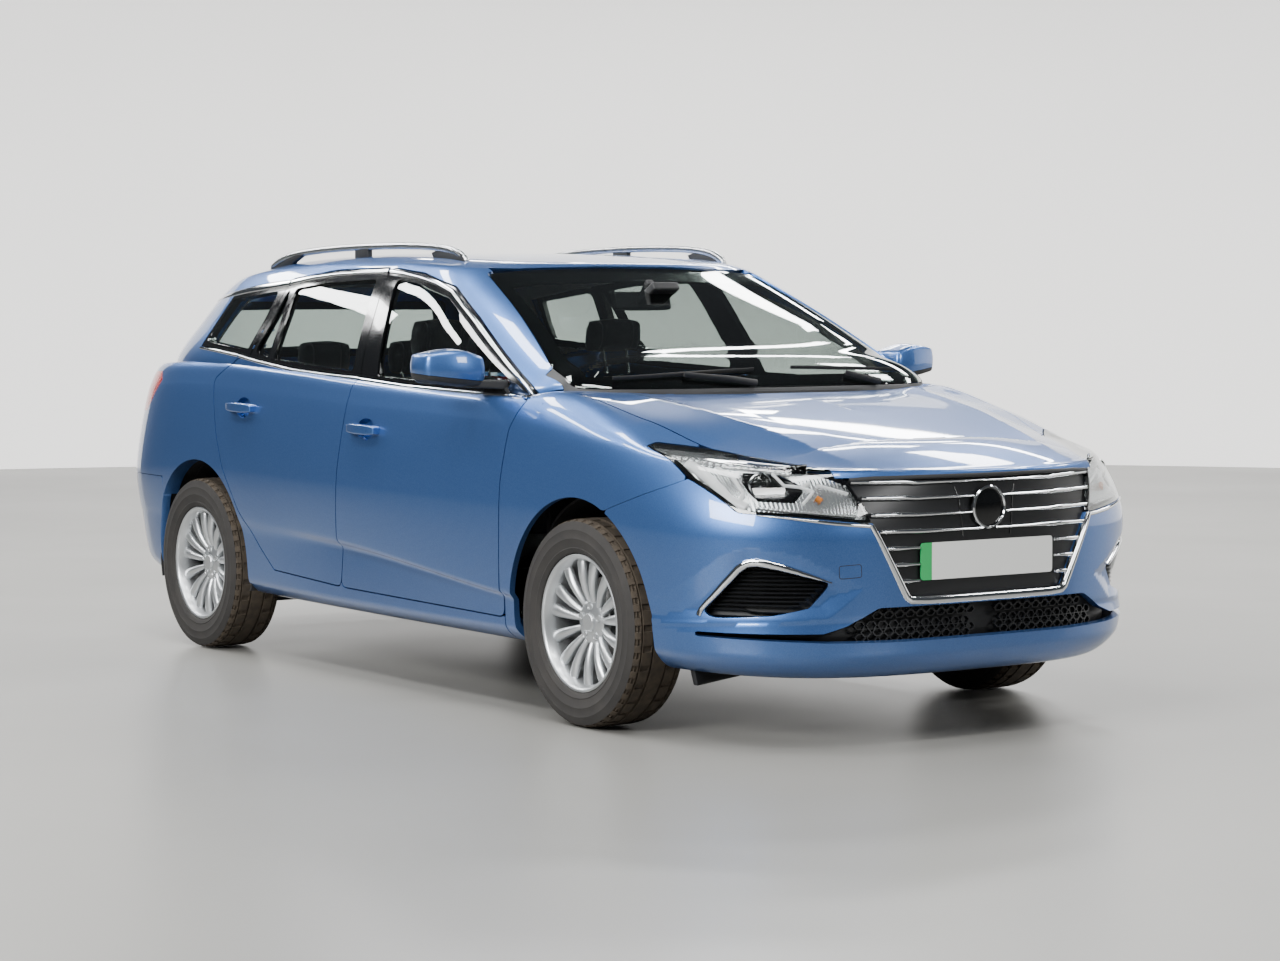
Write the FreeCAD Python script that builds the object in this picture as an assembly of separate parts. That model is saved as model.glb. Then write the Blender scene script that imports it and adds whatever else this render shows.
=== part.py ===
"""A five-door station wagon, right-hand drive, standing on its four tyres.

Frame: +X to the front, +Y to the car's left, +Z up, millimetres.
The origin is on the ground, under the middle of the car's length and width.
The body is one hollow form of flat facets, split where the real panels meet.
"""

import FreeCAD
import Part
import math
import os

V = FreeCAD.Vector

# ---------------------------------------------------------------- driving sizes
LENGTH = 4544.0
HALF_LENGTH = LENGTH / 2
FRONT_AXLE_X = 1335.0
REAR_AXLE_X = -1330.0
WHEEL_RADIUS = 326.0          # 205/60 R16
TRACK_HALF = 778.0            # centre of the car to the middle of the tread
HALF_WIDTH = 909.0
GAP = 10.0                    # between a door, bonnet or tailgate and its frame
HALF_GAP = GAP / 2
FAR = 3000.0                  # longer than anything on the car

# Walls, from the outer face inwards
DOOR_WALL = 100.0
BONNET_WALL = 28.0
GLASS_WALL = 8.0
FLOOR_WALL = 32.0

# Each ring of the body is one level line round the car, from the nose round the
# side to the tail. Columns: nose x, nose power, tail x, tail power,
# half widths (front axle, middle, rear axle), heights (x, z)
LOWER_RINGS = {
    "underside": (2190, 3.2, -2180, 3.2, (790, 800, 790),
                  ((2272, 205), (1335, 225), (-120, 232), (-1330, 240), (-2272, 265))),
    "sill": (2262, 3.2, -2235, 3.4, (862, 868, 862),
             ((2272, 290), (1335, 285), (-120, 290), (-1330, 300), (-2272, 340))),
    "crease": (2270, 3.2, -2262, 3.6, (884, 895, 884),
               ((2272, 400), (1335, 385), (-120, 490), (-1330, 525), (-2272, 500))),
    "waist": (HALF_LENGTH, 3.2, -HALF_LENGTH, 3.7, (895, HALF_WIDTH, 897),
              ((2272, 620), (1335, 650), (-120, 680), (-1330, 700), (-2272, 640))),
    "shoulder": (2254, 2.5, -2215, 3.3, (866, 880, 866),
                 ((2272, 815), (2100, 826), (1728, 859), (1335, 912), (907, 945),
                  (-120, 980), (-1330, 1020), (-2272, 985))),
}
# The belt ring carries the bonnet's edge at the front and the window line behind it
BELT_RING = (2232, 3.0, -2110, 3.2,
             ((1335, 742), (1060, 764), (907, 815), (640, 838), (-130, 846), (-1000, 838), (-1330, 826)),
             ((2272, 826), (2130, 830), (1778, 872), (1493, 960), (1060, 1040), (907, 1018),
              (228, 1037), (-130, 1055), (-640, 1080), (-1330, 1100), (-1900, 1085), (-2272, 1062)))
DECK_RING = (1990, 2.6, -1990, 3.0,
             ((1335, 430), (1060, 440), (-130, 480), (-1330, 440)),
             ((1990, 902), (1600, 975), (1335, 1012), (1060, 1046), (907, 1018), (228, 1037),
              (-130, 1055), (-640, 1080), (-1330, 1100), (-1990, 1070)))

# The glasshouse: front x, front power, rear x, rear power, half width, heights (x, z)
GLASS_RINGS = {
    "hidden_base": (1262, 5.2, -2070, 3.4, 838, ((1262, 940), (-130, 940), (-2070, 960))),
    "glass_base": (1240, 5.2, -2066, 3.4, 842,
                   ((1240, 1032), (1068, 1046), (907, 1016), (228, 1035), (-130, 1053),
                    (-640, 1078), (-1330, 1098), (-2066, 1062))),
    "glass_middle": (800, 4.9, -1972, 3.1, 768,
                     ((800, 1248), (228, 1250), (-130, 1262), (-1330, 1268), (-1972, 1225))),
    "roof_edge": (345, 4.6, -1880, 2.9, 640,
                  ((345, 1440), (70, 1452), (-176, 1466), (-630, 1470), (-1020, 1458),
                   (-1330, 1436), (-1600, 1402), (-1880, 1372))),
    "roof_inner": (300, 4.0, -1850, 3.0, 500,
                   ((300, 1462), (0, 1486), (-400, 1500), (-900, 1492), (-1400, 1450),
                    (-1850, 1388))),
}
NOSE_STEPS = (0.0, 0.30, 0.55, 0.75, 0.90, 0.97)    # shares of the half width
SIDE_X = (1335, 1060, 907, 640, 228, -130, -640, -1000, -1330)
GLASS_MIDDLE_X = -130.0
GLASS_REAR_X = -1000.0
GLASS_SIDE_X = (-130, -560, -1000)


# ---------------------------------------------------------------- form helpers
def along(table, x):
    """Straight-line value of a table of (x, value) pairs at x."""
    rows = sorted(table)
    if x <= rows[0][0]:
        return rows[0][1]
    for (xa, va), (xb, vb) in zip(rows, rows[1:]):
        if x <= xb:
            return va + (vb - va) * (x - xa) / (xb - xa)
    return rows[-1][1]


def round_end(origin, tip, half_width, power, share):
    """Point on a rounded end at a share of the half width."""
    return origin + (tip - origin) * (1 - share ** power) ** (1 / power), half_width * share


def lower_ring(row, inset, end_inset, rise):
    """Left half of one lower ring, nose to tail, each wall moved inwards."""
    nose_x, nose_power, tail_x, tail_power, widths, heights = row
    table = ((FRONT_AXLE_X, widths[0]), (-130, widths[1]), (REAR_AXLE_X, widths[2])) \
        if len(widths) == 3 and not isinstance(widths[0], tuple) else widths
    front, rear = along(table, FRONT_AXLE_X) - inset, along(table, REAR_AXLE_X) - inset
    points = [round_end(FRONT_AXLE_X, nose_x - end_inset, front, nose_power, s) for s in NOSE_STEPS]
    points += [(x, along(table, x) - inset) for x in SIDE_X]
    points += [round_end(REAR_AXLE_X, tail_x + end_inset, rear, tail_power, s)
               for s in reversed(NOSE_STEPS)]
    return [V(x, y, along(heights, x) + rise) for x, y in points]


def glass_ring(row, inset, rise):
    """Left half of one ring of the glasshouse, windscreen to tailgate."""
    front_x, front_power, rear_x, rear_power, width, heights = row
    points = [round_end(GLASS_MIDDLE_X, front_x - inset, width - inset, front_power, s)
              for s in NOSE_STEPS]
    points += [(x, width - inset) for x in GLASS_SIDE_X]
    points += [round_end(GLASS_REAR_X, rear_x + inset, width - inset, rear_power, s)
               for s in reversed(NOSE_STEPS)]
    return [V(x, y, along(heights, x) + rise) for x, y in points]


def mirrored(shape):
    return shape.mirror(V(0, 0, 0), V(0, 1, 0))


def flat_face(points):
    return Part.Face(Part.makePolygon(list(points) + [points[0]]))


def closed_form(half_rings):
    """Solid through a stack of half rings and their mirror images."""
    flip = lambda p: V(p.x, -p.y, p.z)
    faces = []
    for low, high in zip(half_rings, half_rings[1:]):
        for i in range(len(low) - 1):
            a, b, c, d = low[i], low[i + 1], high[i + 1], high[i]
            for corner in ((a, b, c), (a, c, d)):
                faces.append(flat_face(corner))
                faces.append(flat_face([flip(p) for p in corner]))
    for cap in (half_rings[0], half_rings[-1]):
        for a, b in zip(cap, cap[1:]):
            corners = [p for p in (a, b, flip(b), flip(a))]
            if a.y < 1e-6:
                corners = [a, b, flip(b)]
            elif b.y < 1e-6:
                corners = [a, b, flip(a)]
            faces.append(flat_face(corners))
    solid = Part.Solid(Part.Shell(faces))
    if solid.Volume < 0:
        solid.reverse()
    return solid


def lower_form(side, end, floor, top):
    """The lower body, its walls moved inwards by side, end, floor and top."""
    rows = [lower_ring(LOWER_RINGS["underside"], side, end, floor)]
    rows += [lower_ring(LOWER_RINGS[n], side, end, floor * 0.6) for n in ("sill",)]
    rows += [lower_ring(LOWER_RINGS[n], side, end, 0) for n in ("crease", "waist")]
    rows += [lower_ring(LOWER_RINGS["shoulder"], side, end, -top)]
    rows += [lower_ring(BELT_RING, side * 0.8, end, -top)]
    rows += [lower_ring(DECK_RING, 0, 0, -top)]
    return closed_form(rows)


def glass_form(inset, roof_drop, base_drop=0):
    """The glasshouse, moved inwards by inset and down by roof_drop."""
    rows = [glass_ring(GLASS_RINGS["hidden_base"], inset, -base_drop)]
    rows += [glass_ring(GLASS_RINGS[n], inset, 0) for n in ("glass_base", "glass_middle")]
    rows += [glass_ring(GLASS_RINGS[n], inset, -roof_drop) for n in ("roof_edge", "roof_inner")]
    return closed_form(rows)


def offset_outline(points, distance):
    """Polygon moved outwards by distance (inwards if negative), corners kept sharp."""
    count = len(points)
    area = sum(points[i][0] * points[(i + 1) % count][1] - points[(i + 1) % count][0] * points[i][1]
               for i in range(count))
    turn = 1 if area > 0 else -1
    moved = []
    for i in range(count):
        (ax, ay), (bx, by), (cx, cy) = points[i - 1], points[i], points[(i + 1) % count]
        first, second = math.hypot(bx - ax, by - ay), math.hypot(cx - bx, cy - by)
        n1 = ((by - ay) / first * turn, -(bx - ax) / first * turn)
        n2 = ((cy - by) / second * turn, -(cx - bx) / second * turn)
        scale = distance / (1 + n1[0] * n2[0] + n1[1] * n2[1])
        moved.append((bx + (n1[0] + n2[0]) * scale, by + (n1[1] + n2[1]) * scale))
    return moved


def side_prism(points, y0=0.0, y1=FAR):
    """Prism across the car's left half from a side-view outline of (x, z)."""
    return flat_face([V(x, y0, z) for x, z in points]).extrude(V(0, y1 - y0, 0))


def front_prism(points, x0, x1):
    """Prism along the car from a front-view outline of (y, z)."""
    return flat_face([V(x0, y, z) for y, z in points]).extrude(V(x1 - x0, 0, 0))


def top_prism(points, z0, z1):
    """Upright prism from a plan-view outline of (x, y)."""
    return flat_face([V(x, y, z0) for x, y in points]).extrude(V(0, 0, z1 - z0))


def box(x0, x1, y0, y1, z0, z1):
    return Part.makeBox(x1 - x0, y1 - y0, z1 - z0, V(x0, y0, z0))


def solids_of(shape, least=2000.0):
    """The shape's solids, without slivers under a volume in cubic millimetres."""
    kept = [s for s in shape.Solids if s.Volume > least]
    return kept[0] if len(kept) == 1 else Part.makeCompound(kept)


def cylinder_y(x, z, radius, y0, y1):
    return Part.makeCylinder(radius, y1 - y0, V(x, y0, z), V(0, 1, 0))


def plate_recess(plate, side):
    """Room in front of a number plate's flat seat; side is 1 at the nose, -1 at the tail."""
    x, z = plate
    return box(min(x, side * FAR), max(x, side * FAR), -PLATE_SIZE[0] / 2, PLATE_SIZE[0] / 2,
               z - PLATE_SIZE[1] / 2, z + PLATE_SIZE[1] / 2)


def save(name, shape):
    shape.exportStep("parts/" + name + ".step")

# ---------------------------------------------------------------- panel outlines
# Side view (x, z) of the shut lines and windows; the left side is the pattern.
PILLAR_LINE = ((-183, 322), (-150, 750), (-111, 1023), (-90, 1062), (-175, 1449))
FRONT_DOOR = ((905, 308), (918, 753), (943, 917), (992, 1022), (719, 1164), (509, 1274),
              (290, 1378), (67, 1426)) + tuple(reversed(PILLAR_LINE))
REAR_DOOR = PILLAR_LINE + ((-560, 1444), (-884, 1414), (-952, 1118), (-1040, 1118), (-1196, 1037),
                           (-1178, 961), (-1136, 835), (-1071, 709), (-948, 551), (-795, 421),
                           (-690, 345))
FRONT_WINDOW = ((868, 1042), (719, 1128), (509, 1238), (290, 1342), (67, 1390), (-95, 1408), (24, 1068))
REAR_WINDOW = ((-150, 1082), (-232, 1408), (-600, 1398), (-818, 1378), (-762, 1116))
REAR_CORNER_WINDOW = ((-796, 1122), (-852, 1374), (-868, 1370), (-918, 1140))
QUARTER_WINDOW = ((-985, 1148), (-937, 1372), (-1318, 1338), (-1372, 1178))
# Front view (y, z) of the left half
WINDSCREEN_SIDE = ((-740, 1046), (740, 1046), (572, 1428), (430, 1442), (-430, 1442), (-572, 1428))
TAILGATE_SIDE = ((-520, 655), (520, 655), (640, 900), (690, 1060), (560, 1400), (440, 1470),
                 (-440, 1470), (-560, 1400), (-690, 1060), (-640, 900))
REAR_GLASS = ((-590, 1100), (590, 1100), (500, 1345), (-500, 1345))
LAMP = ((424, 670), (497, 838), (600, 870), (822, 905), (812, 800), (758, 704), (600, 690))
GRILLE = ((-303, 447), (303, 447), (424, 670), (478, 800), (478, 850), (-478, 850), (-478, 800), (-424, 670))
GRILLE_BARS_Z = (497, 545, 593, 641, 689, 737, 780)
LOWER_SLOT = ((-496, 382), (-336, 322), (336, 322), (496, 382), (380, 402), (-380, 402))
FOG_POCKET = ((538, 507), (634, 417), (770, 402), (748, 587))
# Plan view (x, y) of the left half of the bonnet
BONNET = ((1100, -752), (1300, -742), (1493, -728), (1778, -676), (2010, -560), (2150, -470), (2262, -300),
          (2262, 300), (2150, 470), (2010, 560), (1778, 676), (1493, 728), (1300, 742), (1100, 752),
          (1180, 600), (1236, 400), (1268, 200), (1280, 0), (1268, -200), (1236, -400), (1180, -600))
BONNET_LIP_Z = 802.0
BUMPER_LINE = ((2400, 818), (2131, 815), (1936, 704), (1791, 777), (1652, 732), (1480, 678), (1480, 100),
               (2400, 100))
JACK_X = (780, -720)
JACK_Z = 205.0
PLATE_SIZE = (524, 115)
FRONT_PLATE = (2250.0, 552.0)    # x of its flat seat, z of its middle
REAR_PLATE = (-2238.0, 790.0)
ARCH_RADIUS = 385.0
FRONT_ARCH = (1350.0, 335.0)
REAR_ARCH = (-1295.0, 342.0)
FRONT_WELL_Y = 488.0
REAR_WELL_Y = 625.0
LINER = 10.0

# ---------------------------------------------------------------- joints
STEER_Y = 720.0               # king pins, upright
BONNET_HINGE = (1135.0, 1020.0)     # x, z
HINGE_PIN_RADIUS = 14.0
HINGE_PIN_Y = ((-640, -560), (560, 640))

os.makedirs("parts", exist_ok=True)

# The form, and the same form moved inwards for each wall
OUTER = lower_form(0, 0, 0, 0).fuse(glass_form(0, 0))
SKIN = lower_form(30, 30, 20, 14).fuse(glass_form(14, 14, 20))
PILLAR = lower_form(60, 40, 26, 20).fuse(glass_form(24, 20, 30))
INNER = lower_form(DOOR_WALL, 55, FLOOR_WALL, BONNET_WALL).fuse(glass_form(45, 32, 40))
LEFT = box(-FAR, FAR, 0, FAR, -200, FAR)
WALL = OUTER.cut(INNER)
SKIN_WALL = OUTER.cut(SKIN)
BLOCK_WALL = SKIN.cut(INNER)
PILLAR_WALL = PILLAR.cut(INNER)
GLASS = glass_form(9, 8).cut(glass_form(9 + GLASS_WALL, 8 + GLASS_WALL))

# Wheel wells are open through the body side and end at an inner wall
wells = []
for (x, z), y in ((FRONT_ARCH, FRONT_WELL_Y), (REAR_ARCH, REAR_WELL_Y)):
    wells.append(cylinder_y(x, z, ARCH_RADIUS, y, 1200).fuse(
        box(x - ARCH_RADIUS + 8, x + ARCH_RADIUS - 8, y, 1200, 0, z - 30)))
WELLS = wells[0].fuse(wells[1])
WELLS = WELLS.fuse(mirrored(WELLS))

# ---------------------------------------------------------------- doors
long_line = ((-185, 262),) + PILLAR_LINE + ((-182, 1478),)
pillar_zone = [(x + 40, z) for x, z in long_line] + [(x - 40, z) for x, z in reversed(long_line)]
pillar_post = [(x + 24, z) for x, z in long_line] + [(x - 24, z) for x, z in reversed(long_line)]
PILLAR_ZONE = side_prism(pillar_zone)
ABOVE_BELT = box(-FAR, FAR, 0, FAR, 1085, FAR)


def door(outline, windows):
    """Full-thickness door: a skin to the shut line and an inner block set back from it."""
    skin = SKIN_WALL.common(side_prism(offset_outline(outline, -HALF_GAP)))
    block = BLOCK_WALL.common(side_prism(offset_outline(outline, -55)))
    frame = BLOCK_WALL.common(side_prism(offset_outline(outline, -18))).common(ABOVE_BELT)
    shape = skin.fuse(block.fuse(frame).cut(PILLAR_ZONE))
    for window in windows:
        shape = shape.cut(side_prism(window))
    return shape.cut(WELLS)


DOORS = {
    "front_door": (FRONT_DOOR, (FRONT_WINDOW,)),
    "rear_door": (REAR_DOOR, (REAR_WINDOW, REAR_CORNER_WINDOW)),
}
for name, (outline, windows) in DOORS.items():
    panel = solids_of(door(outline, windows))
    pane = solids_of(Part.makeCompound([GLASS.common(side_prism(w)) for w in windows]))
    for side, turn in (("left", lambda s: s), ("right", mirrored)):
        save(name + "_" + side, turn(panel))
        save(name + "_glass_" + side, turn(pane))

# ---------------------------------------------------------------- bonnet and tailgate
BONNET_ZONE = top_prism(BONNET, 700, 1300)
BONNET_SKIN = OUTER.cut(lower_form(0, 0, 0, 12))
bonnet = WALL.common(top_prism(offset_outline(BONNET, -HALF_GAP), BONNET_LIP_Z + HALF_GAP, 1300))
hinge_x, hinge_z = BONNET_HINGE
hinge_room = []
for y0, y1 in HINGE_PIN_Y:
    pin = cylinder_y(hinge_x, hinge_z, HINGE_PIN_RADIUS, y0, y1)
    bonnet = bonnet.fuse(pin.cut(BONNET_SKIN))
    hinge_room.append(cylinder_y(hinge_x, hinge_z, HINGE_PIN_RADIUS + HALF_GAP, y0 - HALF_GAP, y1 + HALF_GAP))
HINGE_ROOM = hinge_room[0].fuse(hinge_room[1])
save("bonnet", solids_of(bonnet))

inside = front_prism(offset_outline(TAILGATE_SIDE, -HALF_GAP), -FAR, -1710)
rear_glass_hole = front_prism(REAR_GLASS, -FAR, -1700)
tailgate = WALL.common(inside).cut(rear_glass_hole)
tailgate = tailgate.cut(plate_recess(REAR_PLATE, -1))
save("tailgate", solids_of(tailgate))
save("tailgate_glass", solids_of(GLASS.common(rear_glass_hole)))

# ---------------------------------------------------------------- fixed body
body = WALL.cut(WELLS)
for outline in (FRONT_DOOR, REAR_DOOR):
    opening = side_prism(offset_outline(outline, HALF_GAP - 0.01))
    body = body.cut(opening).cut(mirrored(opening))
opening = side_prism(QUARTER_WINDOW)
body = body.cut(opening).cut(mirrored(opening))
body = body.cut(front_prism(offset_outline(TAILGATE_SIDE, HALF_GAP), -FAR, -1690))
windscreen_hole = front_prism(WINDSCREEN_SIDE, 150, 1300)
body = body.cut(windscreen_hole)
body = body.cut(top_prism(offset_outline(BONNET, HALF_GAP), BONNET_LIP_Z - HALF_GAP, 1300))

pane = GLASS.common(side_prism(QUARTER_WINDOW))
windscreen = GLASS.common(windscreen_hole)
save("fixed_glass", Part.makeCompound([solids_of(windscreen), solids_of(pane), solids_of(mirrored(pane))]))

lamp_zone = front_prism(LAMP, 1640, FAR)
lamp_zone = lamp_zone.fuse(mirrored(lamp_zone)).cut(BONNET_ZONE)
grille_zone = front_prism(GRILLE, 1900, FAR)
bumper_zone = side_prism(BUMPER_LINE, -FAR, FAR)
rear_bumper_zone = box(-FAR, -1600, -FAR, FAR, 0, 650)
tail_lamp_zone = box(-FAR, -1774, -FAR, FAR, 894, 1052)
floor_zone = box(-2150, 2100, -735, 735, 0, 275)
roof_zone = box(-1700, 420, -548, 548, 1300, 1700)
cowl_zone = box(1040, 1300, -700, 700, 940, 1200)
fender_zone = box(907 + HALF_GAP, FAR, -FAR, FAR, 0, FAR).cut(
    side_prism(((900, 1100), (900, 1035), (1080, 1000), (1300, 1100)), -FAR, FAR))


def take(shape, zone):
    """The part of the shape in the zone, and what is left of the shape."""
    return shape.common(zone), shape.cut(zone)


floor_pan, body = take(body, floor_zone)
roof_panel, body = take(body, roof_zone)
headlamps, body = take(body, lamp_zone)
grille, body = take(body, grille_zone)
grille_back = grille.common(lower_form(26, 26, 20, 14))
grille_face = grille.cut(grille_back)
frame_inside = front_prism(offset_outline(GRILLE, -22), 1900, FAR)
grille_bars = [grille_face.cut(frame_inside)]
for z in GRILLE_BARS_Z:
    grille_bars.append(grille_face.common(box(1900, FAR, -FAR, FAR, z - 7, z + 7)))
grille_bars.append(grille_face.common(box(1900, FAR, -272, 272, 488, 616)))
grille = grille_back
for bar in grille_bars:
    grille = grille.fuse(bar)
grille = grille.cut(plate_recess(FRONT_PLATE, 1))
cowl, body = take(body, cowl_zone)
front_bumper, body = take(body, bumper_zone)
tail_lamps, body = take(body, tail_lamp_zone)
rear_bumper, body = take(body, rear_bumper_zone)
fenders, body = take(body, fender_zone)

pocket = front_prism(FOG_POCKET, 1700, FAR).cut(lower_form(40, 40, 20, 14))
front_bumper = front_bumper.cut(pocket.fuse(mirrored(pocket)))
front_bumper = front_bumper.cut(front_prism(LOWER_SLOT, 1900, FAR))

post = PILLAR_WALL.common(side_prism(pillar_post)).cut(floor_zone).cut(roof_zone)
side = body.common(LEFT).fuse(post)
for x in JACK_X:
    side = side.fuse(box(x - 40, x + 40, 738, 790, JACK_Z, 262).cut(INNER).cut(WELLS))
side = solids_of(side, 1e6)
for name, shape in (("floor_pan", floor_pan), ("roof_panel", roof_panel), ("headlamps", headlamps),
                    ("grille", grille), ("front_bumper", front_bumper), ("tail_lamps", tail_lamps),
                    ("rear_bumper", rear_bumper), ("front_fenders", fenders),
                    ("body_side_left", side), ("body_side_right", mirrored(side))):
    save(name, solids_of(shape, 1e6))

# Wheel houses line the wells inside the body; the bulkhead parts cabin and engine bay
houses = []
for (x, z), y in ((FRONT_ARCH, FRONT_WELL_Y), (REAR_ARCH, REAR_WELL_Y)):
    drum = cylinder_y(x, z, ARCH_RADIUS + LINER, y - LINER, 860)
    skirt = box(x - ARCH_RADIUS - 2, x + ARCH_RADIUS + 2, y - LINER, 860, 240, z - 30)
    houses.append(drum.fuse(skirt).common(INNER).cut(WELLS))
houses = [solids_of(h, 1e5) for h in houses]
save("wheel_houses", Part.makeCompound(houses + [mirrored(h) for h in houses]))
HOUSES = houses[0].fuse(mirrored(houses[0]))
bulkhead = INNER.common(box(1040, 1064, -FAR, FAR, 0, 1012)).cut(HOUSES).cut(WELLS)
save("bulkhead", solids_of(bulkhead.fuse(cowl).cut(HINGE_ROOM), 1e5))

# ---------------------------------------------------------------- cabin and load space
# Seats. Columns: node part, side outline (x, z), y from, y to
FRONT_SEAT = (
    ("cushion", ((-150, 400), (-130, 520), (330, 560), (380, 530), (360, 400)), 120, 640),
    ("back", ((-150, 500), (-370, 1080), (-300, 1110), (-210, 1060), (-30, 560)), 130, 630),
    ("headrest", ((-385, 1105), (-365, 1270), (-300, 1285), (-265, 1240), (-290, 1105)), 260, 500),
    ("base", ((-100, 262), (-100, 402), (300, 402), (300, 262)), 200, 560),
)
REAR_SEAT = (
    ("cushion", ((-1010, 300), (-1010, 540), (-560, 580), (-520, 540), (-540, 300)), -600, 600),
    ("back", ((-1010, 500), (-1215, 1040), (-1150, 1065), (-1085, 1020), (-890, 540)), -600, 600),
)
REAR_HEADRESTS = (-400, 0, 400)


def seat(rows):
    shape = None
    for _, outline, y0, y1 in rows:
        piece = side_prism(outline, y0, y1)
        shape = piece if shape is None else shape.fuse(piece)
    return shape


front_seat = seat(FRONT_SEAT)
rear_seat = seat(REAR_SEAT)
for y in REAR_HEADRESTS:
    outline = ((-1222, 1030), (-1225, 1190), (-1150, 1200), (-1120, 1160), (-1140, 1030))
    rear_seat = rear_seat.fuse(side_prism(outline, y - 115, y + 115))
seats = [shape.cut(floor_pan) for shape in (front_seat, mirrored(front_seat), rear_seat)]
save("seats", Part.makeCompound([solids_of(shape) for shape in seats]))

DASHBOARD = ((640, 620), (610, 800), (640, 900), (760, 975), (1036, 985), (1036, 700), (900, 560), (700, 560))
CONSOLE = ((-150, 262), (-150, 560), (250, 590), (560, 640), (760, 640), (1000, 700), (1000, 262))
STEERING_Y = -370.0
STEERING_HUB = V(520, STEERING_Y, 850)
COLUMN = V(math.cos(math.radians(-24)), 0, math.sin(math.radians(-24)))
dashboard = side_prism(DASHBOARD, -722, 722).fuse(side_prism(CONSOLE, -100, 100))
column = Part.makeCylinder(34, 150, STEERING_HUB + COLUMN * 52, COLUMN)
save("dashboard", solids_of(dashboard.fuse(column).common(INNER).cut(HOUSES)))

rim = Part.makeTorus(178, 14, STEERING_HUB, COLUMN)
boss = Part.makeCylinder(62, 42, STEERING_HUB - COLUMN * 12, COLUMN)
wheel_turn = FreeCAD.Rotation(V(0, 0, 1), COLUMN)
steering_wheel = rim.fuse(boss)
for angle in (0, 130, 230):
    spoke = Part.makeBox(130, 30, 14, V(50, -15, -7))
    spoke.Placement = FreeCAD.Placement(STEERING_HUB, wheel_turn * FreeCAD.Rotation(V(0, 0, 1), angle))
    steering_wheel = steering_wheel.fuse(spoke)
save("steering_wheel", solids_of(steering_wheel))

save("load_floor", solids_of(box(-2150, -1235, -600, 600, 560, 600).common(INNER)))
save("battery_pack", box(-2000, -1420, -430, 430, 290, 540))
drive_unit = box(1110, 1640, -330, 340, 300, 800).fuse(box(1180, 1560, -250, 180, 800, 870))
save("drive_unit", drive_unit)

# ---------------------------------------------------------------- running gear
# Front strut and arm, knuckle and stub axle: all on the left, then mirrored
ARM_Z = (172, 205)
STRUT_Y = 598.0
KING_PIN_RADIUS = 17.0
STUB_RADIUS = 20.0
STUB_CLEARANCE = 0.5
HUB_INNER_Y = 742.0
axle_z = WHEEL_RADIUS
subframe = box(1180, 1520, -400, 400, 170, 215)
arm = side_prism(((1300, ARM_Z[0]), (1370, ARM_Z[0]), (1370, ARM_Z[1]), (1300, ARM_Z[1])), 400, 705)
strut = Part.makeCylinder(24, 150, V(FRONT_AXLE_X, STRUT_Y, 440)).fuse(
    Part.makeCylinder(38, 128, V(FRONT_AXLE_X, STRUT_Y, 590)))
save("front_suspension", Part.makeCompound([subframe.fuse(arm).fuse(mirrored(arm)),
                                            solids_of(strut.common(WELLS)),
                                            solids_of(mirrored(strut.common(WELLS)))]))


def stub(x):
    carrier = cylinder_y(x, axle_z, 58, 700, HUB_INNER_Y - 6)
    return carrier.fuse(cylinder_y(x, axle_z, STUB_RADIUS, 720, 800))


upright = box(1305, 1365, 700, 724, 214, 424)
king_pin = Part.makeCylinder(KING_PIN_RADIUS, 38, V(FRONT_AXLE_X, STEER_Y, 211))
knuckle = stub(FRONT_AXLE_X).fuse(upright).fuse(box(1300, 1370, 585, 724, 402, 430)).fuse(king_pin)
save("front_knuckle_left", knuckle)
save("front_knuckle_right", mirrored(knuckle))

beam = box(REAR_AXLE_X - 45, REAR_AXLE_X + 45, -655, 655, 165, 222)
trailing = box(REAR_AXLE_X - 45, REAR_AXLE_X + 45, 640, 700, 165, 372)
half = trailing.fuse(stub(REAR_AXLE_X))
save("rear_axle", beam.fuse(half).fuse(mirrored(half)))

# Tyre section (radius, offset from the middle of the tread)
TYRE_SECTION = ((203, -84), (217, -84), (232, -97), (268, -102.5), (306, -99), (321, -90), (326, -72),
                (326, 72), (321, 90), (306, 99), (268, 102.5), (232, 97), (217, 84), (203, 84))
RIM_SECTION = ((202.6, -84.4), (217, -84.4), (217, -89), (196, -89), (190, -60), (188, 60), (196, 89),
               (217, 89), (217, 84.4), (202.6, 84.4))
# Spokes stand in five groups of three: a pair either side of the group's middle, and one between groups
SPOKE_ANGLES = [72.0 * group + step for group in range(5) for step in (-11.0, 11.0, 36.0)]
SPOKE_WIDTH = 19.0


def ring(section, x):
    """Ring of the given section round the wheel's axis at the left side."""
    points = [V(x, TRACK_HALF + offset, axle_z + radius) for radius, offset in section]
    return flat_face(points).revolve(V(x, 0, axle_z), V(0, 1, 0), 360)


def alloy_wheel(x):
    shape = ring(RIM_SECTION, x)
    hub = cylinder_y(x, axle_z, 68, HUB_INNER_Y, 838)
    shape = shape.fuse(hub)
    for angle in SPOKE_ANGLES:
        spoke = side_prism(((x - SPOKE_WIDTH / 2, axle_z + 50), (x + SPOKE_WIDTH / 2, axle_z + 50),
                            (x + SPOKE_WIDTH / 2, axle_z + 192), (x - SPOKE_WIDTH / 2, axle_z + 192)),
                           822, 852)
        spoke.rotate(V(x, 0, axle_z), V(0, 1, 0), angle)
        shape = shape.fuse(spoke)
    return shape.cut(cylinder_y(x, axle_z, STUB_RADIUS + STUB_CLEARANCE, 700, 806))


for name, x in (("front", FRONT_AXLE_X), ("rear", REAR_AXLE_X)):
    tyre = ring(TYRE_SECTION, x)
    wheel = solids_of(alloy_wheel(x))
    for side_name, turn in (("left", lambda s: s), ("right", mirrored)):
        save(name + "_tyre_" + side_name, turn(tyre))
        save(name + "_wheel_" + side_name, turn(wheel))

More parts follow.
